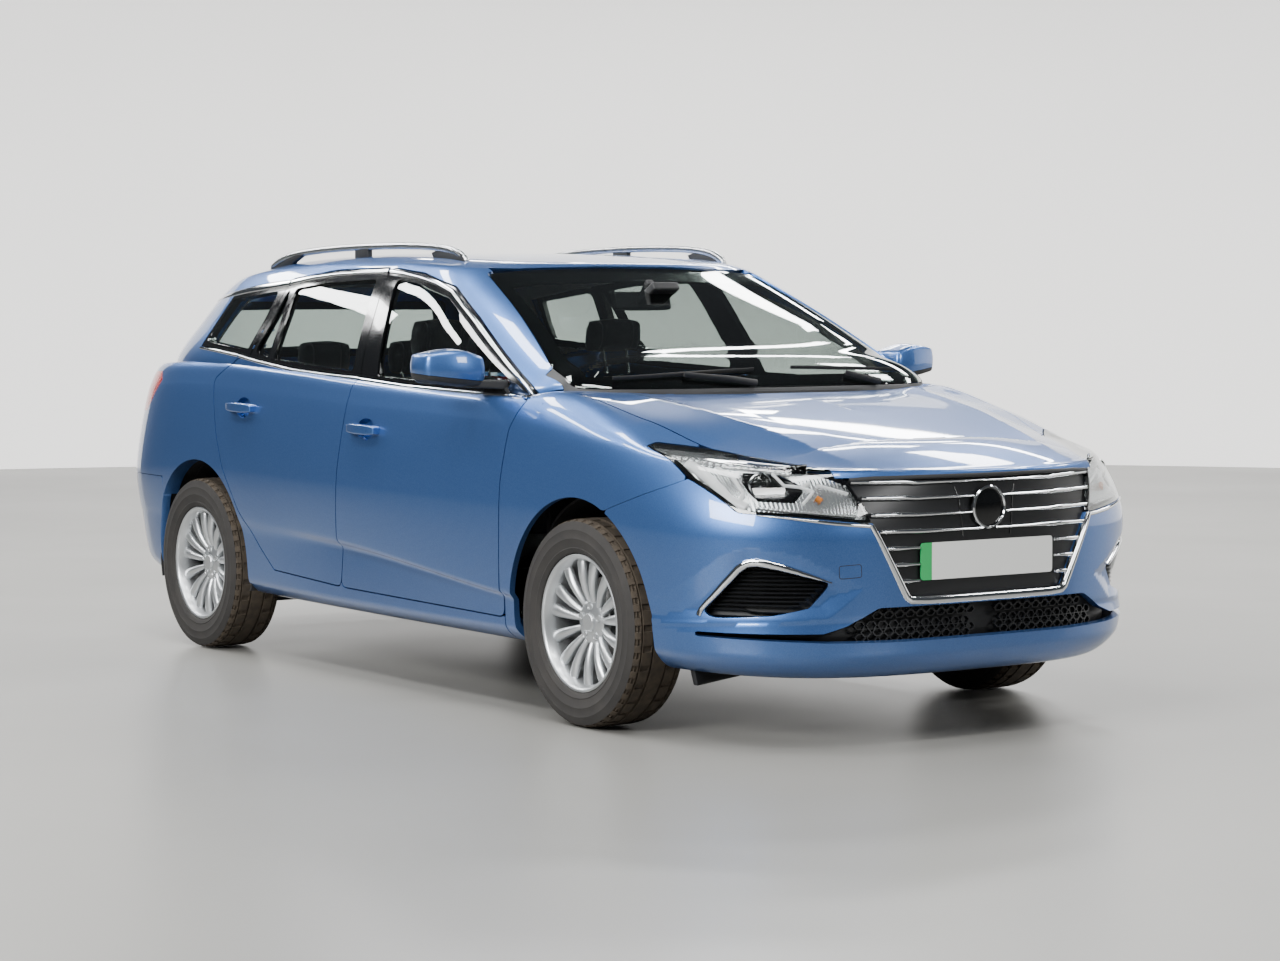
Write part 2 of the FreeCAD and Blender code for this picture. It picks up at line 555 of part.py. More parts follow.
# ---------------------------------------------------------------- mirrors and roof rails
MIRROR = ((700, 880), (760, 905), (790, 960), (765, 1030), (700, 1052), (650, 1046), (630, 1010), (630, 890))
mirror = top_prism(MIRROR, 1040, 1165).common(
    front_prism(((870, 1052), (900, 1040), (1010, 1045), (1052, 1090), (1050, 1135), (1010, 1160),
                 (900, 1165), (872, 1150)), 500, 900))
foot = box(690, 790, 800, 905, 1046, 1072).cut(OUTER)
mirror = solids_of(mirror.fuse(foot))
save("door_mirror_left", mirror)
save("door_mirror_right", mirrored(mirror))

RAIL = ((165, 1440), (150, 1492), (60, 1524), (-120, 1538), (-550, 1543), (-1000, 1530), (-1150, 1512),
        (-1262, 1470), (-1280, 1430), (-1190, 1430), (-1110, 1492), (-1000, 1506), (-600, 1517),
        (-600, 1440), (-500, 1440), (-500, 1518), (-120, 1514), (40, 1498), (80, 1440))
rail = side_prism(RAIL, 557, 583)
rail.rotate(V(-550, 570, 0), V(0, 0, 1), 1.6)
rail = solids_of(rail.cut(OUTER))
save("roof_rails", Part.makeCompound([rail, mirrored(rail)]))
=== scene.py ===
"""A five-door station wagon, dressed over its construction model. Metres, +X forward, +Y left, +Z up."""

import math

import bmesh
import bpy
import numpy as np
from mathutils import Matrix, Vector


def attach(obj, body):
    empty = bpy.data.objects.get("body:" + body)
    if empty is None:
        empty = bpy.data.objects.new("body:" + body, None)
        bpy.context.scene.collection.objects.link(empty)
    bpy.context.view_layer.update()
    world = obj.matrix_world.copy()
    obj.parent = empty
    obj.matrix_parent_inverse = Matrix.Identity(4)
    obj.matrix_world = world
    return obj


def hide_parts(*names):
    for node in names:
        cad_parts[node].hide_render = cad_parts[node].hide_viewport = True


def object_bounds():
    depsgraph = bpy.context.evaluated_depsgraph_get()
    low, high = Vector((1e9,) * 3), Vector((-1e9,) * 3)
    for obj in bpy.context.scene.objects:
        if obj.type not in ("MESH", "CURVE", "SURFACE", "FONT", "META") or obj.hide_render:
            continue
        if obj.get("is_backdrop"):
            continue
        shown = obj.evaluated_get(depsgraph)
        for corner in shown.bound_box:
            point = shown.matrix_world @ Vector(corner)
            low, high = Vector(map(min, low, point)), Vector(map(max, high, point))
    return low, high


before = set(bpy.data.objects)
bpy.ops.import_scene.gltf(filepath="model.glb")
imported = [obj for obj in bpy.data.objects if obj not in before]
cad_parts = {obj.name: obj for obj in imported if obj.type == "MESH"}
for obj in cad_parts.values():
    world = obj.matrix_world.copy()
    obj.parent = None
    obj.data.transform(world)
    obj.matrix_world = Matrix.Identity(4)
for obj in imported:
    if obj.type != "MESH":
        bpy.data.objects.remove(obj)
cad_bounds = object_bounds()
bpy.ops.object.select_all(action="DESELECT")


# ---------------------------------------------------------------- studio and camera
# A pale round studio: a sealed concrete floor, a white wall all round, ceiling panels of soft
# light, and a long lens at the height of a seated person's eyes.
CAMERA_PLACE = Vector((8.975, -5.862, 1.3115))
CAMERA_YAW, CAMERA_PITCH, CAMERA_ROLL = (math.radians(a) for a in (145.618, -3.394, -0.114))
LENS_MM, SENSOR_MM = 82.904, 36.0

camera_data = bpy.data.cameras.new("studio_camera")
camera_data.sensor_width, camera_data.lens = SENSOR_MM, LENS_MM
camera_data.clip_end = 200.0
camera = bpy.data.objects.new("studio_camera", camera_data)
bpy.context.scene.collection.objects.link(camera)
look = Vector((math.cos(CAMERA_PITCH) * math.cos(CAMERA_YAW),
               math.cos(CAMERA_PITCH) * math.sin(CAMERA_YAW), math.sin(CAMERA_PITCH)))
camera.matrix_world = (Matrix.Translation(CAMERA_PLACE)
                       @ look.to_track_quat("-Z", "Y").to_matrix().to_4x4()
                       @ Matrix.Rotation(CAMERA_ROLL, 4, "Z"))
bpy.context.scene.camera = camera


def linear(hex_colour):
    """sRGB hex to the linear values that shaders use."""
    parts = [int(hex_colour[i:i + 2], 16) / 255 for i in (1, 3, 5)]
    return [c / 12.92 if c <= 0.04045 else ((c + 0.055) / 1.055) ** 2.4 for c in parts] + [1.0]


def add_node(tree, kind, settings=None, links=None):
    """Adds a shader node; settings fill sockets by name or its own fields, links are (socket, output)."""
    node = tree.nodes.new(kind)
    for name, value in (settings or {}).items():
        if name in node.inputs:
            node.inputs[name].default_value = value
        else:
            setattr(node, name, value)
    for name, output in (links or {}).items():
        tree.links.new(output, node.inputs[name])
    return node


def new_material(name, colour, roughness, **settings):
    """A named finish with its shader's own values; returns material, tree and shader."""
    material = bpy.data.materials.new(name)
    material.use_nodes = True
    tree = material.node_tree
    shader = tree.nodes["Principled BSDF"]
    shader.inputs["Base Color"].default_value = linear(colour)
    shader.inputs["Roughness"].default_value = roughness
    for key, value in settings.items():
        shader.inputs[key.replace("_", " ")].default_value = value
    return material, tree, shader


def textured(name, colour, roughness, kind, sockets, tone=None, tint=None, relief=None, **settings):
    """A finish that one pattern varies: roughness from and to, two tints, relief strength and depth."""
    material, tree, shader = new_material(name, colour, roughness, **settings)
    place = add_node(tree, "ShaderNodeTexCoord")
    pattern = add_node(tree, "ShaderNodeTex" + kind, sockets, {"Vector": place.outputs["Object"]})
    value = pattern.outputs["Distance" if kind == "Voronoi" else "Fac"]
    if tone:
        node = add_node(tree, "ShaderNodeMapRange", {"To Min": tone[0], "To Max": tone[1]}, {"Value": value})
        tree.links.new(node.outputs["Result"], shader.inputs["Roughness"])
    if tint:
        node = add_node(tree, "ShaderNodeMixRGB", {"Color1": linear(tint[0]), "Color2": linear(tint[1])},
                        {"Fac": value})
        tree.links.new(node.outputs["Color"], shader.inputs["Base Color"])
    if relief:
        node = add_node(tree, "ShaderNodeBump", {"Strength": relief[0], "Distance": relief[1]},
                        {"Height": value})
        tree.links.new(node.outputs["Normal"], shader.inputs["Normal"])
    return material


# Cast concrete floor, ground flat and sealed: faint cloudy patches and a soft sheen
floor_material = textured("sealed_concrete", "#83827e", 0.30, "Noise", {"Scale": 0.6, "Detail": 6.0},
                          tone=(0.26, 0.42))

bpy.ops.mesh.primitive_grid_add(x_subdivisions=4, y_subdivisions=4, size=40.0, location=(0, 0, -0.001))
floor = bpy.context.object
floor.name = "floor"
floor.data.materials.append(floor_material)
floor.data.transform(floor.matrix_world)
floor.matrix_world = Matrix.Identity(4)
floor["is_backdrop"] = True

# Matt white paint on the plastered wall, which gives off an even glow of its own
wall_paint = textured("matt_white_wall_paint", "#eceae7", 0.9, "Noise", {"Scale": 1.2, "Detail": 5.0},
                      tint=("#e6e4e1", "#f0efed"), Emission_Strength=1.35, Emission_Color=linear("#efeeec"))
tree = wall_paint.node_tree
shader = tree.nodes["Principled BSDF"]
# Only its room side is there to be seen, so a camera behind it sees the car too
seen_from = add_node(tree, "ShaderNodeNewGeometry")
clear = add_node(tree, "ShaderNodeBsdfTransparent")
one_sided = add_node(tree, "ShaderNodeMixShader", None, {"Fac": seen_from.outputs["Backfacing"]})
tree.links.new(shader.outputs["BSDF"], one_sided.inputs[1])
tree.links.new(clear.outputs["BSDF"], one_sided.inputs[2])
tree.links.new(one_sided.outputs["Shader"], tree.nodes["Material Output"].inputs["Surface"])
WALL_RADIUS, WALL_HEIGHT, WALL_FROM, WALL_TO = 14.0, 4.9, 50, 184
bpy.ops.object.select_all(action="DESELECT")
bpy.ops.mesh.primitive_grid_add(x_subdivisions=96, y_subdivisions=1, size=2.0)
wall = bpy.context.object
wall.name = "wall"
for vertex in wall.data.vertices:
    turn = math.radians(WALL_TO + (WALL_FROM - WALL_TO) * (vertex.co.x + 1) / 2)
    vertex.co = (WALL_RADIUS * math.cos(turn), WALL_RADIUS * math.sin(turn),
                 WALL_HEIGHT * (vertex.co.y + 1) / 2)
for face in wall.data.polygons:
    face.use_smooth = True
wall.data.materials.append(wall_paint)
wall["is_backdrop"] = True

# Columns: place, aim, size, watts
CEILING_PANELS = [((x, y, 4.9), (x * 0.9, y * 0.9, 0.0), (1.6, 0.6), 95.0)
                  for x in (-8.5, -6.0, -3.5, -1.0, 1.5, 4.0) for y in (-3.4, -1.2, 4.4, 6.8)]
SIDE_PANELS = [((3.6, -8.0, 4.4), (1.2, 0.0, 0.7), (4.4, 2.0), 950.0),
               ((9.5, 1.5, 3.8), (1.0, 0.0, 0.6), (2.6, 1.2), 200.0)]
for index, (where, aim, size, watts) in enumerate(CEILING_PANELS + SIDE_PANELS):
    lamp_data = bpy.data.lights.new("panel_%02d" % index, "AREA")
    lamp_data.shape = "RECTANGLE"
    lamp_data.size, lamp_data.size_y = size
    lamp_data.energy = watts
    lamp = bpy.data.objects.new("panel_%02d" % index, lamp_data)
    direction = Vector(aim) - Vector(where)
    lamp.matrix_world = Matrix.Translation(where) @ direction.to_track_quat("-Z", "Y").to_matrix().to_4x4()
    bpy.context.scene.collection.objects.link(lamp)
world = bpy.data.worlds.new("studio_air")
world.use_nodes = True
world.node_tree.nodes["Background"].inputs["Color"].default_value = linear("#8f959c")
world.node_tree.nodes["Background"].inputs["Strength"].default_value = 0.22
bpy.context.scene.world = world


# ---------------------------------------------------------------- the body's form
# Pressed steel over the whole shell. Its form is a stack of level lines round the car: each
# rounds off at nose and tail and swells along the side, and the sheet runs smoothly through them.
FRONT_AXLE_X, REAR_AXLE_X = 1.335, -1.330
SIDE_VIEW, FRONT_VIEW, TOP_VIEW = (0, 2), (1, 2), (0, 1)
SIDES = (("left", 1), ("right", -1))
SHUT_GAP = 0.0025      # each panel stands this far back from its shut line


def hermite(knots, values, at):
    """Smooth curve that never overshoots, through values (knot, point), at each point's own place."""
    step = np.diff(knots)[:, None]
    rise = np.diff(values, axis=0) / step
    slope = np.zeros_like(values)
    same = rise[:-1] * rise[1:] > 0
    slope[1:-1][same] = 2 * rise[:-1][same] * rise[1:][same] / (rise[:-1] + rise[1:])[same]
    slope[0], slope[-1] = rise[0], rise[-1]
    at = np.clip(at, knots[0], knots[-1])
    i = np.clip(np.searchsorted(knots, at) - 1, 0, len(knots) - 2)
    j = np.arange(len(at))
    h = step[i, 0]
    t = (at - knots[i]) / h
    return ((2 * t ** 3 - 3 * t ** 2 + 1) * values[i, j] + (t ** 3 - 2 * t ** 2 + t) * slope[i, j] * h
            + (3 * t ** 2 - 2 * t ** 3) * values[i + 1, j] + (t ** 3 - t ** 2) * slope[i + 1, j] * h)


def smooth(table, x):
    """Smooth curve through rows of (x, value)."""
    rows = np.array(sorted(table), float)
    return hermite(rows[:, 0], rows[:, 1:2] * np.ones((1, len(x))), x)


def stack(rings, front_origin, rear_origin):
    """Surface through rings. u runs 0 nose, 1 front origin, 2 rear origin, 3 tail; v counts rings."""
    knots = np.arange(len(rings), dtype=float)

    def form(uv, inset=0.0):
        u, v = uv[:, 0], uv[:, 1]
        spread = lambda values: hermite(knots, np.array(values)[:, None] * np.ones((1, len(u))), v)
        nose_x = spread([r[0] - inset * r[6] for r in rings])
        tail_x = spread([r[2] + inset * r[6] for r in rings])
        nose_n, tail_n = spread([r[1] for r in rings]), spread([r[3] for r in rings])
        x_side = front_origin + (rear_origin - front_origin) * np.clip(u - 1, 0, 1)
        width = hermite(knots, np.array([smooth(r[4], x_side) - inset * r[6] for r in rings]), v)
        nose, tail = u < 1, u > 2
        angle = np.where(nose, u, 3 - u) * math.pi / 2
        reach = np.where(nose, nose_x - front_origin, rear_origin - tail_x)
        power = np.where(nose, nose_n, tail_n)
        cosine, sine = np.clip(np.cos(angle), 1e-9, 1), np.clip(np.sin(angle), 1e-9, 1)
        radius = ((cosine / reach) ** power + (sine / width) ** power) ** (-1 / power)
        x = np.where(nose, front_origin + radius * cosine,
                     np.where(tail, rear_origin - radius * cosine, x_side))
        y = np.where(nose | tail, radius * sine, width)
        z = hermite(knots, np.array([smooth(r[5], x) - inset * r[7] for r in rings]), v)
        return np.stack([x, y, z], 1)

    return form


def side_widths(front, middle, rear):
    return ((1.6, front), (1.335, front), (-0.12, middle), (-1.33, rear), (-1.6, rear))


# Columns: nose x, nose power, tail x, tail power, half widths (x, y), heights (x, z), then how far
# a wall's inner face moves in and down for each unit of wall
LOWER_RINGS = (
    (2.080, 3.2, -2.080, 3.2, side_widths(0.705, 0.705, 0.705),
     ((2.272, 0.210), (1.335, 0.230), (-0.12, 0.234), (-1.33, 0.244), (-2.272, 0.270)), 0, -1),
    (2.190, 3.2, -2.180, 3.2, side_widths(0.790, 0.800, 0.790),
     ((2.272, 0.205), (1.335, 0.225), (-0.12, 0.232), (-1.33, 0.240), (-2.272, 0.265)), 1, -1),
    (2.262, 3.2, -2.235, 3.4, side_widths(0.868, 0.876, 0.868),
     ((2.272, 0.290), (1.335, 0.285), (-0.12, 0.290), (-1.33, 0.300), (-2.272, 0.340)), 1, -0.4),
    (2.267, 3.2, -2.258, 3.6, ((1.6, 0.880), (1.335, 0.880), (0.9, 0.874), (-0.12, 0.872), (-0.7, 0.884),
     (-1.33, 0.882), (-1.6, 0.882)),
     ((2.272, 0.385), (1.335, 0.345), (0.9, 0.375), (-0.12, 0.455), (-0.7, 0.470), (-1.33, 0.500),
      (-2.272, 0.480)), 1, 0),
    (2.270, 3.2, -2.262, 3.6, ((1.6, 0.884), (1.335, 0.885), (0.9, 0.893), (-0.12, 0.899), (-0.7, 0.896),
     (-1.33, 0.888), (-1.6, 0.888)),
     ((2.272, 0.400), (1.335, 0.375), (0.9, 0.400), (-0.12, 0.490), (-0.7, 0.522), (-1.33, 0.540),
      (-2.272, 0.500)), 1, 0),
    (2.272, 3.2, -2.272, 3.7, side_widths(0.895, 0.909, 0.897),
     ((2.272, 0.620), (1.335, 0.650), (-0.12, 0.680), (-1.33, 0.700), (-2.272, 0.640)), 1, 0),
    (2.254, 2.5, -2.215, 3.3, side_widths(0.866, 0.880, 0.866),
     ((2.272, 0.815), (2.1, 0.826), (1.728, 0.859), (1.335, 0.912), (0.907, 0.945),
      (-0.12, 0.980), (-1.33, 1.020), (-2.272, 0.985)), 1, 0.4),
    (2.232, 3.0, -2.110, 3.2,
     ((1.6, 0.742), (1.335, 0.742), (1.060, 0.764), (0.907, 0.815), (0.640, 0.838),
      (-0.130, 0.846), (-1.0, 0.838), (-1.33, 0.826), (-1.6, 0.826)),
     ((2.272, 0.826), (2.13, 0.830), (1.778, 0.872), (1.493, 0.960), (1.06, 1.040), (0.907, 1.018),
      (0.228, 1.037), (-0.13, 1.055), (-0.64, 1.080), (-1.33, 1.100), (-1.9, 1.085), (-2.272, 1.062)), 1, 1),
    (1.990, 2.6, -1.990, 3.0,
     ((1.6, 0.430), (1.335, 0.430), (1.06, 0.440), (-0.13, 0.480), (-1.33, 0.440), (-1.6, 0.440)),
     ((1.99, 0.902), (1.6, 0.975), (1.335, 1.012), (1.06, 1.046), (0.907, 1.018), (-1.99, 1.070)), 0, 1),
    (1.600, 2.2, -1.600, 2.2, ((1.6, 0.0005), (-1.6, 0.0005)),
     ((2.0, 0.905), (1.7, 0.962), (1.6, 0.980), (1.335, 1.018), (1.06, 1.048), (0.907, 1.018),
      (-1.99, 1.070)), 0, 1),
)


def inside(axes, points, grow=0.0):
    """Test that is positive inside an outline drawn in one view, in metres from its edge."""
    a = np.array(points, float)
    b = np.roll(a, -1, axis=0)
    edge = b - a
    rise = np.where(np.abs(edge[:, 1]) < 1e-12, 1e-12, edge[:, 1])

    def test(p):
        q = np.abs(p[:, axes]) if axes == FRONT_VIEW else p[:, axes] * ((1, 1) if axes[1] != 1 else (1, 0))
        if axes == TOP_VIEW:
            q[:, 1] = np.abs(p[:, 1])
        to = q[:, None, :] - a[None]
        t = np.clip((to * edge).sum(2) / (edge ** 2).sum(1), 0, 1)
        distance = np.sqrt(((to - edge * t[..., None]) ** 2).sum(2)).min(1)
        x, y = q[:, None, 0], q[:, None, 1]
        hit = ((a[:, 1] > y) != (b[:, 1] > y)) & (x < edge[:, 0] * (y - a[:, 1]) / rise + a[:, 0])
        return np.where(hit.sum(1) % 2 == 1, distance, -distance) + grow

    return test


BELT_V = 7.0
SCOOP_DEPTH, SCOOP_SLOPE, LIP_OUT = 0.014, 0.040, 0.007
scoop = inside(FRONT_VIEW, [(0.455, 0.478), (0.560, 0.396), (0.700, 0.378), (0.880, 0.372), (0.870, 0.44),
                            (0.800, 0.575), (0.750, 0.602), (0.640, 0.580)])
plain_lower = stack(LOWER_RINGS, FRONT_AXLE_X, REAR_AXLE_X)
RIDGE_FROM, RIDGE_TO, RIDGE_HEIGHT, RIDGE_WIDTH = (1.12, 0.60), (2.20, 0.40), 0.007, 0.12


def lower(uv, inset=0.0):
    """The lower body, with the two ridges pressed into the bonnet."""
    p = plain_lower(uv, inset)
    share = np.clip((p[:, 0] - RIDGE_FROM[0]) / (RIDGE_TO[0] - RIDGE_FROM[0]), 0, 1)
    off = np.abs(p[:, 1] - (RIDGE_FROM[1] + (RIDGE_TO[1] - RIDGE_FROM[1]) * share))
    fade = np.clip(share * 5, 0, 1) * np.clip((1 - share) * 4, 0, 1) * (p[:, 2] > 0.8) * (uv[:, 1] > 6.5)
    p[:, 2] += RIDGE_HEIGHT * fade * np.clip(1 - off / RIDGE_WIDTH, 0, 1) ** 2
    front = (p[:, 0] > 1.6) & (p[:, 2] < 0.62)
    if front.any():
        nose = p[front]
        pressed = np.clip(scoop(nose) / SCOOP_SLOPE, 0, 1)
        lip = np.clip((0.380 - nose[:, 2]) / 0.035, 0, 1) * np.clip((nose[:, 2] - 0.20) / 0.08, 0, 1)
        reach = LIP_OUT * lip * np.clip((nose[:, 0] - 1.6) / 0.2, 0, 1) - SCOOP_DEPTH * pressed
        away = nose * (1, 1, 0) - (1.335, 0, 0)
        p[front] = nose + away / np.linalg.norm(away, axis=1, keepdims=True) * reach[:, None]
    return p


def even_width(width):
    return ((0.5, width), (-1.6, width))


GLASS_RINGS = (
    (1.262, 5.2, -2.070, 3.4, even_width(0.838), ((1.262, 0.940), (-0.13, 0.940), (-2.07, 0.960)), 1, 0),
    (1.240, 5.2, -2.066, 3.4, even_width(0.842),
     ((1.24, 1.032), (1.068, 1.046), (0.907, 1.016), (0.228, 1.035), (-0.13, 1.053), (-0.64, 1.078),
      (-1.33, 1.098), (-2.066, 1.062)), 1, 0),
    (0.800, 4.9, -1.972, 3.1, even_width(0.768),
     ((0.8, 1.248), (0.228, 1.250), (-0.13, 1.262), (-1.33, 1.268), (-1.972, 1.225)), 1, 0),
    (0.345, 4.6, -1.880, 2.9, even_width(0.640),
     ((0.345, 1.440), (0.07, 1.452), (-0.176, 1.466), (-0.63, 1.470), (-1.02, 1.458), (-1.33, 1.436),
      (-1.6, 1.402), (-1.88, 1.372)), 1, 0.8),
    (0.300, 4.0, -1.850, 3.0, even_width(0.500),
     ((0.3, 1.462), (0.0, 1.486), (-0.4, 1.500), (-0.9, 1.492), (-1.4, 1.450), (-1.85, 1.388)), 1, 1),
    (-0.13, 2.4, -1.000, 2.4, even_width(0.0005),
     ((0.3, 1.468), (0.0, 1.492), (-0.4, 1.508), (-0.9, 1.500), (-1.4, 1.456), (-1.85, 1.392)), 0, 1),
)
glasshouse = stack(GLASS_RINGS, -0.13, -1.0)


def drawn(points):
    """Outline from millimetres, as on the body drawing, to metres."""
    return [(a / 1000, b / 1000) for a, b in points]


def rounded(points, radius, steps=5):
    """Outline with its corners rounded, where its sides have the room."""
    result = []
    for i in range(len(points)):
        before, corner, after = (Vector(points[(i + k) % len(points)]) for k in (-1, 0, 1))
        to_before, to_after = before - corner, after - corner
        half = max(to_before.angle(to_after) / 2, 0.05)
        cut = min(radius / math.tan(half), 0.45 * to_before.length, 0.45 * to_after.length)
        start, end = corner + to_before.normalized() * cut, corner + to_after.normalized() * cut
        for k in range(steps + 1):
            t = k / steps
            result.append(tuple(start * (1 - t) ** 2 + corner * 2 * t * (1 - t) + end * t ** 2))
    return result


def within(axis, low=-9.0, high=9.0):
    """Test that is positive between two values along one axis, y taken as a distance from the middle."""
    def test(p):
        value = np.abs(p[:, 1]) if axis == 1 else p[:, axis]
        return np.minimum(value - low, high - value)

    return test


def both(*tests):
    return lambda p: np.min([t(p) for t in tests], axis=0)


def either(*tests):
    return lambda p: np.max([t(p) for t in tests], axis=0)


def but_not(*tests):
    return lambda p: -np.max([t(p) for t in tests], axis=0)


def under_line(points):
    """Test that is positive below a line in side view."""
    rows = np.array(sorted(points), float)
    return lambda p: np.interp(p[:, 0], rows[:, 0], rows[:, 1]) - p[:, 2]


def even_steps(form, fixed, low, high, pitch, along_u):
    """Values of u or v that lie about one pitch apart on the form."""
    t = np.linspace(low, high, 240)
    longest = None
    for other in fixed:
        line = np.stack([t, np.full(240, other)] if along_u else [np.full(240, other), t], 1)
        run = np.linalg.norm(np.diff(form(line), axis=0), axis=1)
        longest = run if longest is None else np.maximum(longest, run)
    length = np.concatenate([[0], np.cumsum(longest)])
    return np.interp(np.linspace(0, length[-1], max(2, int(length[-1] / pitch)) + 1), length, t)


def sheet_grid(form, u_range, v_range, pitch):
    """Even grid over part of a form, as surface coordinates and four-sided faces."""
    u = even_steps(form, np.linspace(*v_range, 3), *u_range, pitch, True)
    v = even_steps(form, np.linspace(*u_range, 3), *v_range, pitch, False)
    uu, vv = np.meshgrid(u, v, indexing="ij")
    index = np.arange(uu.size).reshape(uu.shape)
    quads = np.stack([index[:-1, :-1], index[1:, :-1], index[1:, 1:], index[:-1, 1:]], -1).reshape(-1, 4)
    return np.stack([uu.ravel(), vv.ravel()], 1), [tuple(q) for q in quads.tolist()]


def trim(form, uv, faces, keep):
    """Cuts a sheet where a test turns negative, with new points exactly on the line."""
    value = keep(form(uv))
    good = (value > 0).tolist()
    kept, crossing, edges = [], [], {}
    for face in faces:
        flags = [good[i] for i in face]
        if all(flags):
            kept.append(face)
        elif any(flags):
            crossing.append(face)
            for i, j in zip(face, face[1:] + face[:1]):
                if good[i] != good[j]:
                    edges.setdefault((i, j) if good[i] else (j, i), len(edges))
    if not crossing:
        return uv, kept
    pairs = np.array(list(edges))
    inner, outer = uv[pairs[:, 0]].copy(), uv[pairs[:, 1]].copy()
    for _ in range(14):
        middle = (inner + outer) / 2
        is_in = (keep(form(middle)) > 0)[:, None]
        inner, outer = np.where(is_in, middle, inner), np.where(is_in, outer, middle)
    base = len(uv)
    for face in crossing:
        loop = []
        for i, j in zip(face, face[1:] + face[:1]):
            if good[i]:
                loop.append(i)
            if good[i] != good[j]:
                loop.append(base + edges[(i, j) if good[i] else (j, i)])
        if len(loop) > 2:
            kept.append(tuple(loop))
    return np.concatenate([uv, inner]), kept


def outward(form, uv):
    """Outward unit normals of the left half of a form."""
    e = 1e-3
    low, high = uv - (e, 0), uv + (e, 0)
    low[:, 0], high[:, 0] = np.clip(low[:, 0], 0, 3), np.clip(high[:, 0], 0, 3)
    n = np.cross(form(high) - form(low), form(uv + (0, e)) - form(uv - (0, e)))
    n[(uv[:, 0] < 1e-6) | (uv[:, 0] > 3 - 1e-6), 1] = 0
    return n / np.maximum(np.linalg.norm(n, axis=1, keepdims=True), 1e-12)


def object_from(name, points, faces, loop_normals=None):
    mesh = bpy.data.meshes.new(name)
    mesh.from_pydata(points, [], faces)
    mesh.polygons.foreach_set("use_smooth", [True] * len(mesh.polygons))
    if loop_normals is not None:
        mesh.normals_split_custom_set([tuple(n) for n in loop_normals])
    piece = bpy.data.objects.new(name, mesh)
    bpy.context.scene.collection.objects.link(piece)
    return piece


MIDDLE = 0.0008      # points nearer the car's middle plane than this are shared by both halves
THIN_WALL = 0.0195   # walls within this depth follow the sheet's own normals


def panel(name, patches, wall, sides=(1,), drop=0.0):
    """Closed sheet piece from trimmed patches of (form, u range, v range, pitch, test).

    Its outer face keeps the form's own normals, so that light runs on from one panel to the next.
    """
    points, faces, loop_normals = [], [], []
    for form, u_range, v_range, pitch, keep in patches:
        uv, cells = sheet_grid(form, u_range, v_range, pitch)
        uv, cells = trim(form, uv, cells, keep)
        used = sorted({i for cell in cells for i in cell})
        if not used:
            raise ValueError("nothing is left of a patch of " + name)
        remap = {old: new for new, old in enumerate(used)}
        cells = [tuple(remap[i] for i in cell) for cell in cells]
        uv = uv[used]
        normal = outward(form, uv)
        outer = form(uv) - normal * drop
        inner = outer - normal * wall if wall + drop < THIN_WALL else form(uv, wall + drop)
        border = {}
        for cell in cells:
            for i, j in zip(cell, cell[1:] + cell[:1]):
                if (j, i) in border:
                    del border[(j, i)]
                else:
                    border[(i, j)] = True
        count = len(used)
        block = np.concatenate([outer, inner])
        middle = (np.abs(block[:, 1]) < MIDDLE) if len(sides) == 2 else np.zeros(2 * count, bool)
        block[middle, 1] = 0
        seat = None
        for side in sides:
            turned = np.array((1, side, 1))
            shared, seat = seat, np.arange(2 * count) + len(points)
            points += (block * turned).tolist()
            if shared is not None:
                seat[middle] = shared[middle]
            facing = normal * turned
            for cell in cells:
                face = cell if side > 0 else cell[::-1]
                back = face[::-1]
                for loop, normals in ((seat[list(face)], facing[list(face)]),
                                      (seat[[count + i for i in back]], -facing[list(back)])):
                    if len(set(loop.tolist())) > 2:
                        faces.append(tuple(loop.tolist()))
                        loop_normals += list(normals)
            for i, j in border:
                if middle[i] and middle[j]:
                    continue
                edge = [j, i, count + i, count + j] if side > 0 else [i, j, count + j, count + i]
                a, b, c = (block * turned)[edge[:3]]
                n = np.cross(b - a, c - a)
                faces.append(tuple(seat[edge].tolist()))
                loop_normals += [n / max(np.linalg.norm(n), 1e-12)] * 4
    return object_from(name, points, faces, loop_normals)


def locate(form, axes, points, u_range=(0.0, 3.0), v_range=(0.0, 9.0)):
    """Surface coordinates of points given in one view, found by stepping down the slope."""
    uu, vv = np.meshgrid(np.linspace(*u_range, 121), np.linspace(*v_range, 81), indexing="ij")
    grid = np.stack([uu.ravel(), vv.ravel()], 1)
    seen = form(grid)[:, axes]
    target = np.array(points, float)
    uv = np.array([grid[((seen - t) ** 2).sum(1).argmin()] for t in target])
    for _ in range(12):
        e = 1e-5
        here = form(uv)[:, axes]
        du = (form(uv + (e, 0))[:, axes] - here) / e
        dv = (form(uv + (0, e))[:, axes] - here) / e
        miss = target - here
        det = du[:, 0] * dv[:, 1] - du[:, 1] * dv[:, 0]
        det = np.where(np.abs(det) < 1e-9, 1e-9, det)
        step = np.stack([(miss[:, 0] * dv[:, 1] - miss[:, 1] * dv[:, 0]) / det,
                         (du[:, 0] * miss[:, 1] - du[:, 1] * miss[:, 0]) / det], 1)
        uv = uv + np.clip(step, -0.1, 0.1)
        uv[:, 0], uv[:, 1] = np.clip(uv[:, 0], *u_range), np.clip(uv[:, 1], *v_range)
    return uv


def closer(path, pitch):
    """Polyline with extra points, so that none of its steps is longer than the pitch."""
    result = [path[0]]
    for a, b in zip(path, path[1:]):
        count = max(1, math.ceil(math.dist(a, b) / pitch))
        result += [tuple(p + (q - p) * k / count for p, q in zip(a, b)) for k in range(1, count + 1)]
    return result


